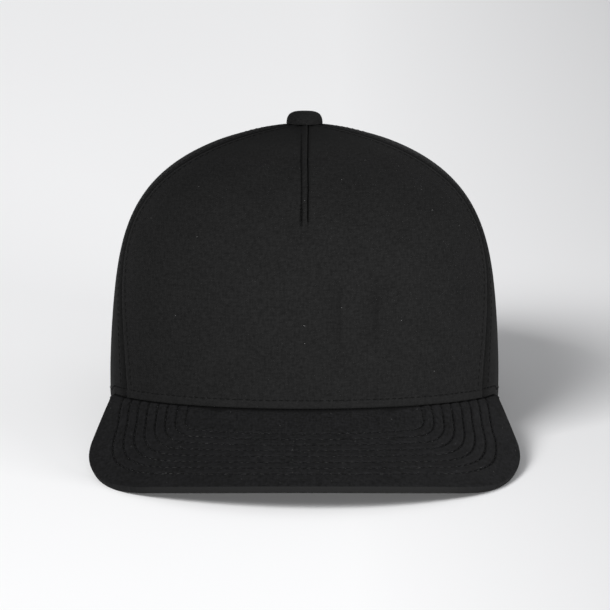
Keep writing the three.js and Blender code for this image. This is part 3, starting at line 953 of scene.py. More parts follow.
def sew_row(points, normals, pitch=STITCH_PITCH, dip=STITCH_DIP):
    """The vertices of the stitches along one row, in mm, in the cap's own frame."""
    length = lengths_along(points, axis=0)
    count = max(int(round(length[-1] / pitch)), 1)
    centre_at = (np.arange(count) + 0.5) * length[-1] / count

    def sample(values, where):
        return np.stack([np.interp(where, length, values[:, i]) for i in range(3)], axis=-1)

    centre = sample(points, centre_at)
    ahead = sample(points, centre_at + TANGENT_STEP)
    behind = sample(points, centre_at - TANGENT_STEP)
    along = unit(ahead - behind)
    normal = unit(sample(normals, centre_at))
    across = unit(np.cross(normal, along))
    turn = random_numbers.normal(0, STITCH_TURN, count)[:, None]
    along, across = along + across * turn, across - along * turn
    stitch_length = pitch * random_numbers.uniform(*STITCH_SHARES, count)[:, None, None]
    x, y, z = STITCH_PLACES[:, 0], STITCH_PLACES[:, 1], STITCH_PLACES[:, 2]
    lift = z * THREAD_THICKNESS - dip * (2 * x) ** 2
    return (
        centre[:, None]
        + along[:, None] * x[None, :, None] * stitch_length
        + across[:, None] * y[None, :, None] * THREAD_THICKNESS
        + normal[:, None] * lift[None, :, None]
    ).reshape(-1, 3)


def sewn_piece(name, rows, slot, material):
    """All the stitches of some rows, as one joined mesh."""
    places = on_table(np.concatenate(rows))
    count = len(places) // len(STITCH_PLACES)
    size = len(STITCH_PLACES)
    faces = [[v + stitch * size for v in face] for stitch in range(count) for face in STITCH_FACES]
    mesh = bpy.data.meshes.new(name)
    mesh.from_pydata(places.tolist(), [], faces)
    mesh.uv_layers.new(name="thread")
    piece = bpy.data.objects.new(name, mesh)
    bpy.context.scene.collection.objects.link(piece)
    write_uv(piece, np.tile(STITCH_UV, (count, 1)), "thread")
    edit(piece, face_outwards)
    smooth(piece, 80)
    print(f"{name}: {count} stitches")
    settle(piece, slot, material)


# %% Rows along the crown's seams, the hem and the half-moon gap
SEAM_ROW_START = HEM_STITCH + 1.5
CENTRE_ROW_START = HALF_MOON_HEIGHT + ARCH_STITCH + 2
SEAM_THREAD_LIFT = 0.12
THREAD_LIFT = 0.14
ARCH_ROW_END = 0.09


def on_crown(azimuth, rise, lift):
    """Points of the crown lifted off the smooth dome by these mm, and the outward direction."""
    base = crown_surface(azimuth, rise)
    normal = crown_normal(azimuth, rise)
    base[..., 2] -= hem_drop(azimuth, base[..., 2])
    return base + normal * np.asarray(lift)[..., None], normal


def seam_row(panel_name, anchor, lowest, highest=0.95):
    """The stitches beside a panel's left (0) or right (1) seam, from a height up."""
    panel = PANELS[panel_name]
    first = rise_at(lowest, panel.azimuth(0.5, 0.0))
    rise = np.linspace(first, highest, 240)
    inset = SEAM_STITCH if anchor == 0 else -SEAM_STITCH
    distance = panel.distances(rise, np.full_like(rise, anchor), inset)
    azimuth = panel.azimuth(panel.share_at(rise, distance), rise)
    height = crown_surface(azimuth, rise)[..., 2]
    relief = panel_relief(panel_name, panel, azimuth, rise, distance, height)
    return sew_row(*on_crown(azimuth, rise, relief + SEAM_THREAD_LIFT))


centre_seam = (("back_panel_left", 0), ("back_panel_right", 1))
crown_rows = []
for panel_name in PANELS:
    for anchor in (0, 1):
        start = CENTRE_ROW_START if (panel_name, anchor) in centre_seam else SEAM_ROW_START
        crown_rows.append(seam_row(panel_name, anchor, start))

HEM_END = float(back_azimuth(np.array(HALF_MOON_HALF_WIDTH + ARCH_STITCH)))
hem_azimuth = np.linspace(-HEM_END, HEM_END, 700)
hem_rise = rise_at(HEM_STITCH, hem_azimuth)
hem_lift = hem_relief(np.array(HEM_STITCH), HEM_STITCH) + drape(hem_azimuth, HEM_STITCH) + THREAD_LIFT
hem_lift = hem_lift - HEM_DRAWN_IN * hem_drop(hem_azimuth, HEM_STITCH)
crown_rows.append(sew_row(*on_crown(hem_azimuth, hem_rise, hem_lift)))

arch_turn = np.linspace(ARCH_ROW_END, math.pi - ARCH_ROW_END, 300)
arch_x = (HALF_MOON_HALF_WIDTH + ARCH_STITCH) * np.cos(arch_turn)
arch_height = (HALF_MOON_HEIGHT + ARCH_STITCH) * np.sin(arch_turn)
arch_azimuth = back_azimuth(arch_x)
arch_rise = rise_at(arch_height, arch_azimuth)
arch_relief = hem_relief(np.array(ARCH_STITCH), ARCH_STITCH) + drape(arch_azimuth, arch_height)
crown_rows.append(sew_row(*on_crown(arch_azimuth, arch_rise, arch_relief + THREAD_LIFT)))

# %% Rows along the dart
DART_PITCH = 2.4
TACK_PITCH = 1.9
TACK_DIP = 0.1
TACK_LIFT = 0.3
TACK_WANDER = ((-0.5, 0.1, -0.6, 0.0), (0.35, -0.3, 0.5, -0.2), (-0.1, 0.55, -0.25, 0.45))


def dart_row(start, end, offsets, pitch, dip=STITCH_DIP, lift=THREAD_LIFT):
    """A row beside the front's middle line between two heights, at these mm to its side."""
    front = PANELS["front_panel"]
    height = np.linspace(start, end, 160)
    rise = rise_at(height, np.zeros_like(height))
    width = np.interp(rise, LEVELS, front.widths)
    across = np.interp(np.linspace(0, 1, len(height)), np.linspace(0, 1, len(offsets)), offsets)
    azimuth = front.azimuth(front.share_at(rise, width / 2 + across), rise)
    relief = panel_relief("front_panel", front, azimuth, rise, width / 2 + across, height)
    return sew_row(*on_crown(azimuth, rise, relief + lift), pitch=pitch, dip=dip)


crown_rows.append(dart_row(DART_TOP, DART_LOWEST + 1, [DART_STITCH, DART_STITCH], DART_PITCH))
for wander in TACK_WANDER:
    tack = [DART_STITCH + aside for aside in wander]
    crown_rows.append(dart_row(
        DART_LOWEST + TACK_LENGTH, DART_LOWEST - 0.7, tack, TACK_PITCH, TACK_DIP, TACK_LIFT))

sewn_piece("crown_stitches", crown_rows, "black_twill", CROWN_THREAD)

# %% [markdown]
# ## The peak
# A peak is a board between two layers of twill, sewn through in eight rows that follow its
# outline. The outline is drawn flat, as the maker's pattern is: one wide arc in front, a
# tighter arc at each corner and a straight side. It is then sloped down and arched. Straight
# lines run from the crown's seam to the edge, and the whole section wraps round the edge, so
# one grid makes the top, the squared rim and the underside. At the corners the cloth stands
# out a little from the arcs.

# %% The flat outline
PEAK_LENGTH = 65.5
PEAK_HALF_WIDTH = 96.2
PEAK_FRONT_RADIUS = 145.5
PEAK_CORNER_RADIUS = 53.2
PEAK_SIDE_TAPER = math.radians(11.5)
PEAK_TIP_BACK = 47.5
PEAK_TIP_Y = -15.5
PEAK_SLOPE = math.radians(22.2)
PEAK_ARCH_RADIUS = 225.5
PEAK_THICKNESS = 3.5
PEAK_TUCK = 1.6
TIP_BLEND = 2.0
CORNER_FULLNESS = 0.9
FULLEST_SHARE = 0.51
FULLNESS_REACH = 0.09

FRONT_CENTRE = PEAK_LENGTH - PEAK_FRONT_RADIUS
CORNER_X = PEAK_HALF_WIDTH - PEAK_CORNER_RADIUS
FRONT_TURN = math.asin(CORNER_X / (PEAK_FRONT_RADIUS - PEAK_CORNER_RADIUS))
CORNER_FORWARD = FRONT_CENTRE + (PEAK_FRONT_RADIUS - PEAK_CORNER_RADIUS) * math.cos(FRONT_TURN)
CORNER_TURN = math.pi / 2 + PEAK_SIDE_TAPER - FRONT_TURN
SIDE_START = CORNER_FORWARD - PEAK_CORNER_RADIUS * math.sin(PEAK_SIDE_TAPER)
ARC_LENGTHS = (
    PEAK_FRONT_RADIUS * FRONT_TURN,
    PEAK_CORNER_RADIUS * CORNER_TURN,
    (SIDE_START + PEAK_TIP_BACK) / math.cos(PEAK_SIDE_TAPER),
)


def corner_fullness(share):
    """How far the cloth stands out from the arcs near the corners, in mm."""
    return CORNER_FULLNESS * bump_at(np.abs(share), FULLEST_SHARE, FULLNESS_REACH)


def peak_outline(share):
    """Flat places of the outline, sideways and forward, from the middle (0) to a tip (1)."""
    travelled = np.abs(share) * sum(ARC_LENGTHS)
    turn = travelled / PEAK_FRONT_RADIUS
    past_front = np.clip((travelled - ARC_LENGTHS[0]) / PEAK_CORNER_RADIUS, 0, CORNER_TURN)
    corner = FRONT_TURN + past_front
    side = np.maximum(travelled - ARC_LENGTHS[0] - ARC_LENGTHS[1], 0)
    in_front = travelled < ARC_LENGTHS[0]
    x = np.where(
        in_front, PEAK_FRONT_RADIUS * np.sin(turn),
        CORNER_X + PEAK_CORNER_RADIUS * np.sin(corner) - side * math.sin(PEAK_SIDE_TAPER))
    forward = np.where(
        in_front, FRONT_CENTRE + PEAK_FRONT_RADIUS * np.cos(turn),
        CORNER_FORWARD + PEAK_CORNER_RADIUS * np.cos(corner) - side * math.cos(PEAK_SIDE_TAPER))
    facing = np.where(in_front, turn, corner)
    x = x + corner_fullness(share) * np.sin(facing)
    forward = forward + corner_fullness(share) * np.cos(facing)
    return np.sign(share) * x, forward


def inside_outline(x, forward):
    """The distance from a flat place inside the outline to the outline."""
    x = np.abs(x)
    from_front = PEAK_FRONT_RADIUS - np.hypot(x, forward - FRONT_CENTRE)
    beside, ahead = x - CORNER_X, forward - CORNER_FORWARD
    from_side = PEAK_CORNER_RADIUS - (
        beside * math.cos(PEAK_SIDE_TAPER) - ahead * math.sin(PEAK_SIDE_TAPER))
    turn = np.arctan2(beside, ahead)
    in_corner = (turn > FRONT_TURN) & (turn < FRONT_TURN + CORNER_TURN)
    from_corner = np.where(in_corner, PEAK_CORNER_RADIUS - np.hypot(beside, ahead), np.inf)
    return np.minimum(np.minimum(from_front, from_side), from_corner)


# %% The peak in space
def peak_edge(share):
    """The outline sloped down and arched, in the cap's own frame."""
    x, forward = peak_outline(share)
    arch = PEAK_ARCH_RADIUS - np.sqrt(PEAK_ARCH_RADIUS**2 - x**2)
    drop = forward * math.sin(PEAK_SLOPE) + arch * math.cos(PEAK_SLOPE)
    return np.stack([
        x,
        -MOUTH_FRONT_LENGTH - forward * math.cos(PEAK_SLOPE) + arch * math.sin(PEAK_SLOPE),
        -GAP - (drop + np.sqrt(drop**2 + TIP_BLEND**2)) / 2,
    ], axis=-1)


def peak_seam(share, inset=0.0):
    """The seam between peak and crown, or a line this far inside it."""
    turn = share * math.acos(-PEAK_TIP_Y / MOUTH_FRONT_LENGTH)
    flat = np.zeros_like(turn)
    inward = unit(np.stack([
        -np.sin(turn) / MOUTH_HALF_WIDTH, np.cos(turn) / MOUTH_FRONT_LENGTH, flat,
    ], axis=-1))
    seam = np.stack([
        MOUTH_HALF_WIDTH * np.sin(turn), -MOUTH_FRONT_LENGTH * np.cos(turn), flat - GAP,
    ], axis=-1)
    return seam + inward * inset


def peak_top(share, across):
    """Points of the smooth top, from the seam (0) to the edge (1)."""
    seam, edge = peak_seam(share), peak_edge(share)
    return seam + (edge - seam) * across[..., None]


def peak_normal(share, across):
    step = 1e-3
    after, before = np.minimum(share + step, 1), np.maximum(share - step, -1)
    along = peak_top(after, across) - peak_top(before, across)
    outward = peak_edge(share) - peak_seam(share)
    return unit(np.cross(outward, along))


def flat_place(share, across):
    """The place on the flat pattern of a point of the peak."""
    edge_x, edge_forward = peak_outline(share)
    seam = peak_seam(share)
    seam_forward = (-MOUTH_FRONT_LENGTH - seam[..., 1]) / math.cos(PEAK_SLOPE)
    x = seam[..., 0] + (edge_x - seam[..., 0]) * across
    return x, seam_forward + (edge_forward - seam_forward) * across


# %% [markdown]
# ## Rows across the peak
# The eight stitched rows lie 4.85 mm apart. They follow the outline, but sit a little
# further back from it in front than at the sides, and close to the crown they swing
# outwards, so their distance is measured on a slightly shifted pattern. The grid has a row
# of vertices on every stitched row and four on each side of it, which draws its groove
# cleanly however the rows curve.

# %% Distances over the peak's rulings
STITCHED_ROWS = 8
ROW_SPACING = 4.85
FIRST_ROW = 9.8
ROWS_MOVED_BACK = 1.2
ROWS_DRAWN_IN = 1.8
ROWS_FALL_OUT = 0.0032
ROWS_NARROWEST = -8.0
ROWS_STEADY = 18.0
ROWS_SWING = 5.1
ROWS_SWING_LENGTH = 14.0
PEAK_PITCH = 3.8
PEAK_DIP = 0.5
PEAK_GROOVE = 0.55
PEAK_GROOVE_REACH = 0.38
PEAK_SWELL = 0.12
ROW_PLACES = FIRST_ROW + ROW_SPACING * np.arange(STITCHED_ROWS)
GROOVE_OFFSETS = np.array([-1.3, -0.75, -0.4, -0.18, 0.0, 0.18, 0.4, 0.75, 1.3])
ACROSS = np.linspace(0, 1, 181)


def row_distance(share, across):
    """The distance that the stitched rows keep: beside the crown they swing outwards a little."""
    x, forward = flat_place(share, across)
    from_crown = across * np.linalg.norm(peak_edge(share) - peak_seam(share), axis=-1)
    past_narrowest = np.clip(forward, ROWS_NARROWEST, ROWS_STEADY) - ROWS_NARROWEST
    swing = ROWS_SWING * np.exp(-((from_crown / ROWS_SWING_LENGTH) ** 2))
    drawn_in = ROWS_DRAWN_IN - ROWS_FALL_OUT * past_narrowest**2 - swing
    return inside_outline(x * (1 + drawn_in / PEAK_HALF_WIDTH), forward + ROWS_MOVED_BACK)


def across_where(share, wanted, measure):
    """How far along each ruling its measure, falling from seam to edge, has a wanted value."""
    found = np.empty_like(wanted)
    for i, ruling in enumerate(share):
        values = measure(np.full_like(ACROSS, ruling), ACROSS)
        falling = np.minimum.accumulate(values)
        found[:, i] = np.interp(wanted[:, i], falling[::-1], ACROSS[::-1])
    return found


def true_distance(share, across):
    """The distance to the peak's own edge, on the flat pattern."""
    x, forward = flat_place(share, across)
    return inside_outline(x, forward) + corner_fullness(share)


def peak_relief(distance):
    """Grooves along the stitched rows and the soft swell of cloth between them."""
    relief = np.zeros_like(distance)
    for place in ROW_PLACES:
        relief -= PEAK_GROOVE * bump_at(distance, place, PEAK_GROOVE_REACH)
    inside = (distance > FIRST_ROW) & (distance < ROW_PLACES[-1])
    swell = 0.5 - 0.5 * np.cos(2 * math.pi * (distance - FIRST_ROW) / ROW_SPACING)
    return relief + PEAK_SWELL * swell * inside


# %% The grid's places on the top
PEAK_COLUMNS = 264
LEAST_DISTANCE = 0.2
INNERMOST = 62.0
INNER_ROWS = 12

share = np.linspace(-1, 1, PEAK_COLUMNS + 1)
seam_row_distance = np.maximum(row_distance(share, np.zeros_like(share)), LEAST_DISTANCE)
seam_distance = np.maximum(true_distance(share, np.zeros_like(share)), LEAST_DISTANCE)

knots = np.concatenate([place + GROOVE_OFFSETS for place in ROW_PLACES])
inner_knots = np.linspace(ROW_PLACES[-1] + 2.2, INNERMOST, INNER_ROWS)
targets = np.concatenate([inner_knots[::-1], knots[::-1]])[:, None]
# Not every ruling is long enough to reach all places. Those beyond its free length are
# squeezed into its last stretch before the crown, and only there do they leave the rows.
free_share = 0.82 + 0.11 * np.clip((seam_row_distance - 10) / 20, 0, 1)
free = (seam_row_distance * free_share)[None, :]
squeezed = free + (seam_row_distance - free) * (targets - free) / (targets[0, 0] - free)
stitched_across = across_where(share, np.where(targets < free, targets, squeezed), row_distance)

# %% The section round the rim
RIM_HALF = PEAK_THICKNESS / 2
RIM_INSET = 0.8
RIM_SQUARENESS = 0.6
JUNCTION_DIP = 0.35
JUNCTION_REACH = 0.35
RIM_ROWS = 13
APRON_ROWS = 6
BESIDE_SEAM = np.array([0, 0.25, 0.55, 0.95, 1.5, 2.4])

rim_inset = np.minimum(RIM_INSET, 0.45 * seam_distance)
rim_turn = np.linspace(math.pi / 2, -math.pi / 2, RIM_ROWS)[:, None]
rim_in = rim_inset[None, :] * (1 - np.abs(np.cos(rim_turn)) ** RIM_SQUARENESS)
rim_drop = RIM_HALF * (1 - np.sign(np.sin(rim_turn)) * np.abs(np.sin(rim_turn)) ** RIM_SQUARENESS)
rim_across = across_where(share, rim_in, true_distance)
apron = np.linspace(0, 1, APRON_ROWS + 2)[1:-1, None]
apron_across = stitched_across[-1] + (rim_across[0] - stitched_across[-1]) * apron

ruling = np.linalg.norm(peak_edge(share) - peak_seam(share), axis=-1)
beside_seam = BESIDE_SEAM[:, None]
seam_across = np.minimum(beside_seam / np.maximum(ruling, 0.1), stitched_across[0] * beside_seam / 3)
top_across = np.concatenate([seam_across, stitched_across, apron_across])
across = np.concatenate([top_across, rim_across, top_across[::-1]])
drop = np.concatenate([
    np.zeros_like(top_across), np.broadcast_to(rim_drop, rim_across.shape),
    np.full_like(top_across, PEAK_THICKNESS),
])
shares = np.broadcast_to(share, across.shape)
normal = peak_normal(shares, across)
surface = peak_top(shares, across)
placed = row_distance(shares, across)
groove = peak_relief(placed) - JUNCTION_DIP * np.exp(-across * ruling / JUNCTION_REACH)
side = np.where(drop < RIM_HALF, 1.0, -1.0)
section = surface + normal * (side * groove - drop)[..., None]

# %% The tuck under the crown and the rounded tips
TIP_ROUNDING = 0.985

seam_normal = normal[0]
tuck_top = peak_seam(share, PEAK_TUCK)
slope = np.sqrt(1 - seam_normal[:, 2] ** 2) / seam_normal[:, 2]
tuck_under = tuck_top.copy()
tuck_under[:, 2] -= PEAK_THICKNESS / seam_normal[:, 2] - PEAK_TUCK * slope
section = np.concatenate([tuck_top[None], section, tuck_under[None], tuck_top[None]])

centre = section[1:-2].mean(axis=0)
past = np.clip((np.abs(share) - TIP_ROUNDING) / (1 - TIP_ROUNDING), 0, 1)
section = centre + (section - centre) * np.sqrt(1 - past**2)[None, :, None]

x, forward = flat_place(shares, across)
flat = np.stack([x, forward], axis=-1)
flat = np.concatenate([flat[:1], flat, flat[-1:], flat[:1]])
peak_cover = grid_of("peak_cover", on_table(section), flat)

# %% A painted highlight on the peak's rim, and painted shade along its rows and beside the crown
HIGHLIGHT_FRONT = 0.36
HIGHLIGHT_FADE = 0.16
ROW_SHADE_FRONT = 0.3
ROW_SHADE_REACH = 0.34
AT_SIDE_FROM = 0.42
AT_SIDE_FADE = 0.12
JUNCTION_SHADE_REACH = 0.4

# A painted highlight on the front of the rim, fading out towards the corners.
on_rim = np.zeros(section.shape[:2])
first_rim_row = 1 + len(top_across)
in_front = 1 - np.clip((np.abs(share) - HIGHLIGHT_FRONT) / HIGHLIGHT_FADE, 0, 1)
on_rim[first_rim_row:first_rim_row + len(rim_turn)] = np.clip(1.6 * np.cos(rim_turn), 0, 1) * in_front
write_share(peak_cover, "painted_highlight", on_rim)

# Painted shade along the stitched rows, stronger at the sides, and beside the crown.
in_row = sum(bump_at(placed, place, ROW_SHADE_REACH) for place in ROW_PLACES)
at_side = np.clip((np.abs(shares) - AT_SIDE_FROM) / AT_SIDE_FADE, 0, 1)
row_shade = (ROW_SHADE_FRONT + (1 - ROW_SHADE_FRONT) * at_side) * in_row
beside_crown = bump_at(across * ruling, 0, JUNCTION_SHADE_REACH)
painted_shade = np.zeros(section.shape[:2])
painted_shade[1:-2] = np.maximum(row_shade, beside_crown)
write_share(peak_cover, "painted_shade", painted_shade)
edit(peak_cover, merge_doubles, face_outwards)
smooth(peak_cover, 60)
settle(peak_cover, "black_twill", PEAK_TWILL, "peak")

# %% Stitches through the peak
PEAK_THREAD_LIFT = 0.3

peak_rows_top, peak_rows_under = [], []
fine_share = np.linspace(-1, 1, 901)
start_distance = row_distance(fine_share, np.zeros_like(fine_share))
for place in ROW_PLACES:
    reached = fine_share[start_distance > place + 0.3]
    wanted = np.full((1, len(reached)), place)
    line = across_where(reached, wanted, row_distance)[0]
    row_normal = peak_normal(reached, line)
    row_points = peak_top(reached, line)
    groove_lift = peak_relief(np.full(len(reached), place)) + PEAK_THREAD_LIFT
    above = row_points + row_normal * groove_lift[:, None]
    under = row_points - row_normal * (PEAK_THICKNESS + groove_lift)[:, None]
    peak_rows_top.append(sew_row(above, row_normal, PEAK_PITCH, PEAK_DIP))
    peak_rows_under.append(sew_row(under, -row_normal, PEAK_PITCH, PEAK_DIP))
sewn_piece("peak_stitches_top", peak_rows_top, "black_twill", PEAK_THREAD)
sewn_piece("peak_stitches_under", peak_rows_under, "black_twill", PEAK_THREAD)

# %% [markdown]
# ## The covered button
# The button is a domed metal shell with a round of twill gathered over it. A sphere gives
# its round shape. It is flattened on top and drawn in below, and a few faint pleats run in
# under its rim, where the cloth is gathered. Its widest line is pressed a little into the
# crown. Its cloth has painted shade: a little darker all over, and darker still under its rim.

# %% The button
BUTTON_RADIUS = 8.3
BUTTON_HEIGHT = 5.2
BUTTON_WIDEST = -0.35
BUTTON_UNDERSIDE = 0.4
BUTTON_SQUARENESS = 0.5
TOP_FLATNESS = 0.85
UNDERSIDE_FLATNESS = 0.8
PLEATS = 14
PLEAT_DEPTH = 0.025
BUTTON_SHADE = 0.12
BUTTON_UNDER_SHADE = 0.6

deselect_all()
bpy.ops.mesh.primitive_uv_sphere_add(segments=72, ring_count=40, radius=1)
button = bpy.context.object
button.name = button.data.name = "top_button_cover"
ball = np.array([vertex.co for vertex in button.data.vertices])
around = np.arctan2(ball[:, 1], ball[:, 0])
latitude = np.arcsin(np.clip(ball[:, 2], -1, 1))
radius = BUTTON_RADIUS * np.abs(np.cos(latitude)) ** BUTTON_SQUARENESS
above = (BUTTON_HEIGHT - BUTTON_WIDEST) * np.abs(np.sin(latitude)) ** TOP_FLATNESS
below = -BUTTON_UNDERSIDE * np.abs(np.sin(latitude)) ** UNDERSIDE_FLATNESS
pleat = PLEAT_DEPTH * np.cos(PLEATS * around) * np.clip(-latitude / 0.6, 0, 1) * np.cos(latitude)
radius = radius * (1 + pleat)
dome = CROWN_HEIGHT + BUTTON_WIDEST + np.where(latitude > 0, above, below)
button_places = np.stack([radius * np.cos(around), BUTTON_Y + radius * np.sin(around), dome], -1)
up_the_side = 2 * (dome - dome.max())
button_flat = np.stack([radius * np.cos(around), radius * np.sin(around) + up_the_side], -1)
move_vertices(button, on_table(button_places))
write_uv(button, button_flat * MM)
# Painted shade: a little darker all over, and darker under the rim.
write_share(button, "painted_shade", BUTTON_SHADE + BUTTON_UNDER_SHADE * np.clip(-latitude, 0, 1))
smooth(button, 80)
settle(button, "black_twill", CROWN_TWILL, "top_button")

# %% [markdown]
# ## The sweatband
# A strip of twill folded in along the mouth. Its lower edge is sewn to the hem and hidden
# under the peak's seam, and its upper edge stands a little away from the crown in slow waves.

# %% The sweatband
SWEATBAND_INSET = 2.3
SWEATBAND_THICKNESS = 1.0
SWEATBAND_TOP = 32.0
SWEATBAND_DROP = 3.2
SWEATBAND_END = math.radians(154)
SWEATBAND_STEP_IN = 1.7
SWEATBAND_STITCH = 2.4
SWEATBAND_PITCH = 3.4
SWEATBAND_WAVE = 0.35
SWEATBAND_ROWS = np.array([
    0, 0.01, 0.03, 0.06, 0.09, 0.12, 0.2, 0.35, 0.5, 0.65, 0.8, 0.88, 0.94, 0.97, 0.99, 1,
])


def smoothstep(start, end, value):
    part = np.clip((value - start) / (end - start), 0, 1)
    return part * part * (3 - 2 * part)


def wall_point(azimuth, height, inset):
    """A point of the lower crown by its height, which may be below the mouth's edge."""
    rise = rise_at(height, azimuth)
    inward = -crown_normal(azimuth, rise)
    point = crown_surface(azimuth, rise) + inward * np.asarray(inset)[..., None]
    point[..., 2] = height
    return point


def band_low(azimuth):
    """The height of the band's lower edge, which reaches down behind the peak in front."""
    beside_peak = smoothstep(math.radians(57), math.radians(67), np.abs(azimuth))
    return GAP - (SWEATBAND_DROP + GAP) * (1 - beside_peak)


def band_step(azimuth):
    """How much further in the band stands at the back, to make room for the strap."""
    return SWEATBAND_STEP_IN * smoothstep(math.radians(137), math.radians(144), np.abs(azimuth))


band_azimuth = np.linspace(-SWEATBAND_END, SWEATBAND_END, 281)[None, :]
band_rows = SWEATBAND_ROWS[:, None]
band_height = band_low(band_azimuth) + (SWEATBAND_TOP - band_low(band_azimuth)) * band_rows
band_azimuth = np.broadcast_to(band_azimuth, band_height.shape)
wave = SWEATBAND_WAVE * np.sin(9 * band_azimuth + 0.4) * np.sin(23 * band_azimuth) * band_rows
pressed = 0.2 * bump_at(band_height - band_low(band_azimuth), SWEATBAND_STITCH, 0.5)
outer_inset = SWEATBAND_INSET + band_step(band_azimuth) + np.maximum(wave, -0.15)
inner_inset = outer_inset + SWEATBAND_THICKNESS - pressed
band_outer = wall_point(band_azimuth, band_height, outer_inset)
band_inner = wall_point(band_azimuth, band_height, inner_inset)
band_length = lengths_along(band_outer, axis=1)
band_flat = np.stack([band_length, band_height], axis=-1)
sweatband = cloth_wall("sweatband_cloth", on_table(band_outer), on_table(band_inner), band_flat)
edit(sweatband, face_outwards)
apply_modifier(sweatband, "BEVEL", width=0.3 * MM, segments=2, limit_method="ANGLE",
               angle_limit=math.radians(60))
smooth(sweatband, 60)
settle(sweatband, "sweatband_cloth", BAND_TWILL, "sweatband")

sewn_azimuth = np.linspace(-SWEATBAND_END + 0.02, SWEATBAND_END - 0.02, 600)
sewn_inset = SWEATBAND_INSET + band_step(sewn_azimuth) + SWEATBAND_THICKNESS - 0.08
sewn_points = wall_point(sewn_azimuth, band_low(sewn_azimuth) + SWEATBAND_STITCH, sewn_inset)
sewn_normal = -crown_normal(sewn_azimuth, np.full_like(sewn_azimuth, 0.05))
band_row = sew_row(sewn_points, sewn_normal, SWEATBAND_PITCH)
sewn_piece("sweatband_stitches", [band_row], "sweatband_cloth", CROWN_THREAD)

# %% [markdown]
# ## The snap strap
# Two moulded strips meet across the half-moon gap: one carries a row of pegs, the other a
# row of holes that lies over them. Each strip is a grid with a rounded end, made thick by
# Solidify. Holes are cut and pegs are joined with Booleans, and a small Bevel gives the
# soft edge that a mould leaves.

# %% The strips
STRAP_THICKNESS = 1.1
STRAP_BOTTOM = 3.0
STRAP_WIDTH = 15.0
STRAP_ROOT = math.radians(146)
STRAP_INSET = 2.2
STRAP_OUTER_INSET = STRAP_INSET - STRAP_THICKNESS - 0.45
SNAP_COUNT = 7
SNAPS_FASTENED = 4
SNAP_PITCH = math.radians(4.6)
LAST_SNAP = (SNAPS_FASTENED - 1) / 2 * SNAP_PITCH
STRAP_PASS = LAST_SNAP + math.radians(3.1)
PEG_RADIUS = 2.0
PEG_LENGTH = 2.6
HOLE_RADIUS = 2.5
END_LENGTH = math.radians(4.2)


def strip_grid(name, side, inset_at):
    """One strip of the strap, from its root at one side to its rounded end."""
    length = math.pi + STRAP_PASS - STRAP_ROOT
    straight = np.linspace(0, length - END_LENGTH, 60)
    rounded = length - END_LENGTH + END_LENGTH * np.sin(np.linspace(0, math.pi * 0.47, 14)[1:])
    along = np.concatenate([straight, rounded])[None, :]
    past = np.clip((along - (length - END_LENGTH)) / END_LENGTH, 0, 1)
    half = STRAP_WIDTH / 2 * np.sqrt(1 - past**2)
    rows = np.linspace(-1, 1, 9)[:, None]
    height = STRAP_BOTTOM + STRAP_WIDTH / 2 + rows * half
    azimuth = STRAP_ROOT + np.broadcast_to(along, height.shape)
    inset = inset_at(azimuth)
    outer = wall_point(side * azimuth, height, inset)
    inner = wall_point(side * azimuth, height, inset + STRAP_THICKNESS)
    flat = np.stack([azimuth * 100, height], axis=-1)
    piece = cloth_wall(name, on_table(outer), on_table(inner), flat)
    edit(piece, face_outwards)
    return piece


def round_bar(name, azimuth, radius, first_inset, last_inset, rounding=0.0):
    """A bar through the strap's wall, rounded at its ends where asked."""
    height = STRAP_BOTTOM + STRAP_WIDTH / 2
    insets = np.array([first_inset, last_inset])
    start, end = on_table(wall_point(np.full(2, azimuth), np.full(2, height), insets))
    axis = end - start
    deselect_all()
    bpy.ops.mesh.primitive_cylinder_add(
        vertices=28, radius=radius * MM, depth=float(np.linalg.norm(axis)))
    bar = bpy.context.object
    bar.name = bar.data.name = name
    if rounding:
        apply_modifier(bar, "BEVEL", width=rounding * MM, segments=3, limit_method="ANGLE")
    places = np.array([vertex.co for vertex in bar.data.vertices])
    along = axis / np.linalg.norm(axis)
    across = unit(np.cross(along, (0.0, 0.0, 1.0)))
    third = np.cross(along, across)
    middle = (start + end) / 2
    round_places = places[:, :1] * across + places[:, 1:2] * third
    move_vertices(bar, middle + round_places + places[:, 2:] * along)
    edit(bar, face_outwards)
    return bar


def combine(piece, others, operation):
    """Cuts or joins others into a piece, and removes them."""
    for other in others:
        apply_modifier(piece, "BOOLEAN", object=other, operation=operation, solver="EXACT")
        bpy.data.objects.remove(other)


def snap_azimuths(side):
    return [side * (math.pi + LAST_SNAP - index * SNAP_PITCH) for index in range(SNAP_COUNT)]


def hole_inset(azimuth):
    """How deep the strip with holes lies: it steps out to pass over the other strip."""
    out = smoothstep(math.radians(158), math.radians(164), azimuth)
    return STRAP_INSET + (STRAP_OUTER_INSET - STRAP_INSET) * out


peg_strip = strip_grid("strap_pegs_moulded", -1, lambda azimuth: np.full_like(azimuth, STRAP_INSET))
pegs = [
    round_bar(f"peg_{i}", azimuth, PEG_RADIUS, STRAP_INSET + STRAP_THICKNESS / 2,
              STRAP_INSET - PEG_LENGTH, rounding=0.5)
    for i, azimuth in enumerate(snap_azimuths(-1))
]
combine(peg_strip, pegs, "UNION")
hole_strip = strip_grid("strap_holes_moulded", 1, hole_inset)
drills = [
    round_bar(f"hole_{i}", azimuth, HOLE_RADIUS, STRAP_OUTER_INSET - 2,
              STRAP_INSET + STRAP_THICKNESS + 2)
    for i, azimuth in enumerate(snap_azimuths(1))
]
combine(hole_strip, drills, "DIFFERENCE")
for strip, node in ((peg_strip, "strap_pegs"), (hole_strip, "strap_holes")):
    apply_modifier(strip, "BEVEL", width=0.22 * MM, segments=2, limit_method="ANGLE",
                   angle_limit=math.radians(50))
    smooth(strip, 45)
    settle(strip, "black_plastic", STRAP_PLASTIC, node)

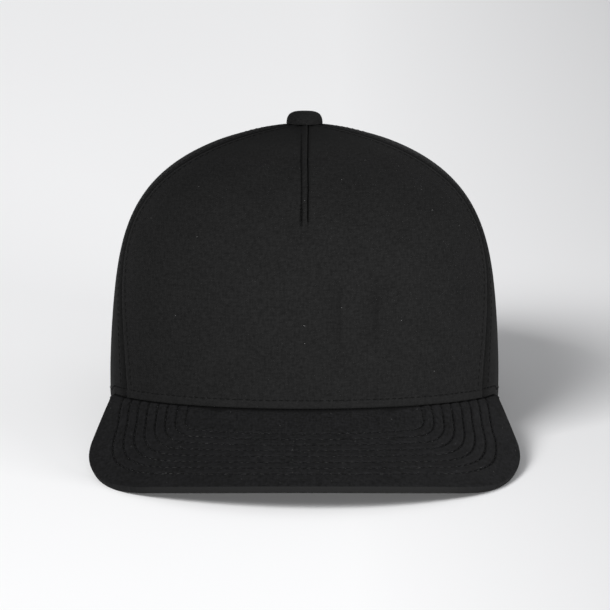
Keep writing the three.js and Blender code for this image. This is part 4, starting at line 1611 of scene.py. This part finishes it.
# %% [markdown]
# ## The table and the light
# A pale table runs out of sight behind the cap, painted a little darker to the right of it
# as painted shade of the light falling off. The light is soft: a broad key from the front
# left, which throws the crown's shadow back to the right, two low strips that lighten the
# black cloth from in front and from the right, and an even pale sky.

# %% Table, lights and camera
TABLE_SIZE = 12.0
SHADE_RIGHT_FROM = 0.02
SHADE_RIGHT_TO = 0.22


def table_finish():
    """Matt white, with a slow cloud in it, and painted shade that darkens it to the right of the cap.
    """
    material, tree = new_material("matt_white_table")
    place = add(tree, "TexCoord").outputs["Object"]
    cloud = add(tree, "TexNoise", {"Vector": place, "Scale": 1.5, "Detail": 2.0})
    pale = add(tree, "Mix", {
        "Factor": cloud.outputs["Fac"], 6: linear("#f6f6f7"), 7: linear("#f9f9f9"),
    }, data_type="RGBA")
    sideways = add(tree, "SeparateXYZ", {"Vector": place})
    # Painted shade: the table darkens towards the right of the cap, where the light falls off.
    shade_right = add(tree, "MapRange", {
        "Value": sideways.outputs["X"], "From Min": SHADE_RIGHT_FROM, "From Max": SHADE_RIGHT_TO,
    })
    colour = add(tree, "Mix", {
        "Factor": shade_right.outputs["Result"], 6: pale.outputs[2], 7: linear("#d8d8d9"),
    }, data_type="RGBA")
    shader = add(tree, "BsdfPrincipled", {
        "Base Color": colour.outputs[2], "Roughness": 0.9, "Specular IOR Level": 0.1,
    })
    add(tree, "OutputMaterial", {"Surface": shader.outputs["BSDF"]})
    return material


deselect_all()
bpy.ops.mesh.primitive_plane_add(size=TABLE_SIZE, location=(0, 0, 0))
table = bpy.context.object
table.name = "table"
table.data.materials.append(table_finish())


LIT_PLACE = Vector((0, 0.02, 0.06))


def area_light(name, direction, distance, width, height, power):
    """A rectangular light that faces the cap from a direction."""
    light = bpy.data.lights.new(name, "AREA")
    light.shape = "RECTANGLE"
    light.size, light.size_y = width, height
    light.energy = power
    lamp = bpy.data.objects.new(name, light)
    bpy.context.scene.collection.objects.link(lamp)
    way = Vector(direction).normalized()
    lamp.location = LIT_PLACE + way * distance
    lamp.rotation_mode = "QUATERNION"
    lamp.rotation_quaternion = way.to_track_quat("Z", "Y")


# Each light's name, the way towards it, its distance and size in metres, and its watts.
area_light("key_light", (-0.7, -0.7, 0.79), 12.0, 6.3, 4.8, 1450)
area_light("front_strip", (0.0, -1.0, 0.05), 3.0, 1.6, 0.3, 38)
area_light("right_strip", (0.7, -0.7, 0.05), 3.0, 1.6, 0.3, 114)

world = bpy.data.worlds.new("studio")
world.use_nodes = True
bpy.context.scene.world = world
sky = world.node_tree.nodes["Background"]
sky.inputs["Color"].default_value = linear("#f4f5f7")
sky.inputs["Strength"].default_value = 0.33
bpy.context.scene.view_settings.view_transform = "Standard"

# %% [markdown]
# ## The camera
# The photograph looks at the cap from straight in front and slightly above, through a long
# lens. The angle at which the peak's seam shows as a nearly straight line gives the height.

# %% The camera
CAMERA_ELEVATION = REST_TILT + math.radians(7.0)
CAMERA_DISTANCE = 2.2
CAMERA_LENS = 283.0
CAMERA_AIM = on_table((0.2, 14.8, 36.5))

camera_data = bpy.data.cameras.new("camera")
camera_data.lens = CAMERA_LENS
camera_data.sensor_width = 36.0
camera_data.clip_end = 50.0
camera = bpy.data.objects.new("camera", camera_data)
bpy.context.scene.collection.objects.link(camera)
camera.location = (
    CAMERA_AIM[0],
    CAMERA_AIM[1] - CAMERA_DISTANCE * math.cos(CAMERA_ELEVATION),
    CAMERA_AIM[2] + CAMERA_DISTANCE * math.sin(CAMERA_ELEVATION),
)
camera.rotation_euler = (math.pi / 2 - CAMERA_ELEVATION, 0, 0)
bpy.context.scene.camera = camera
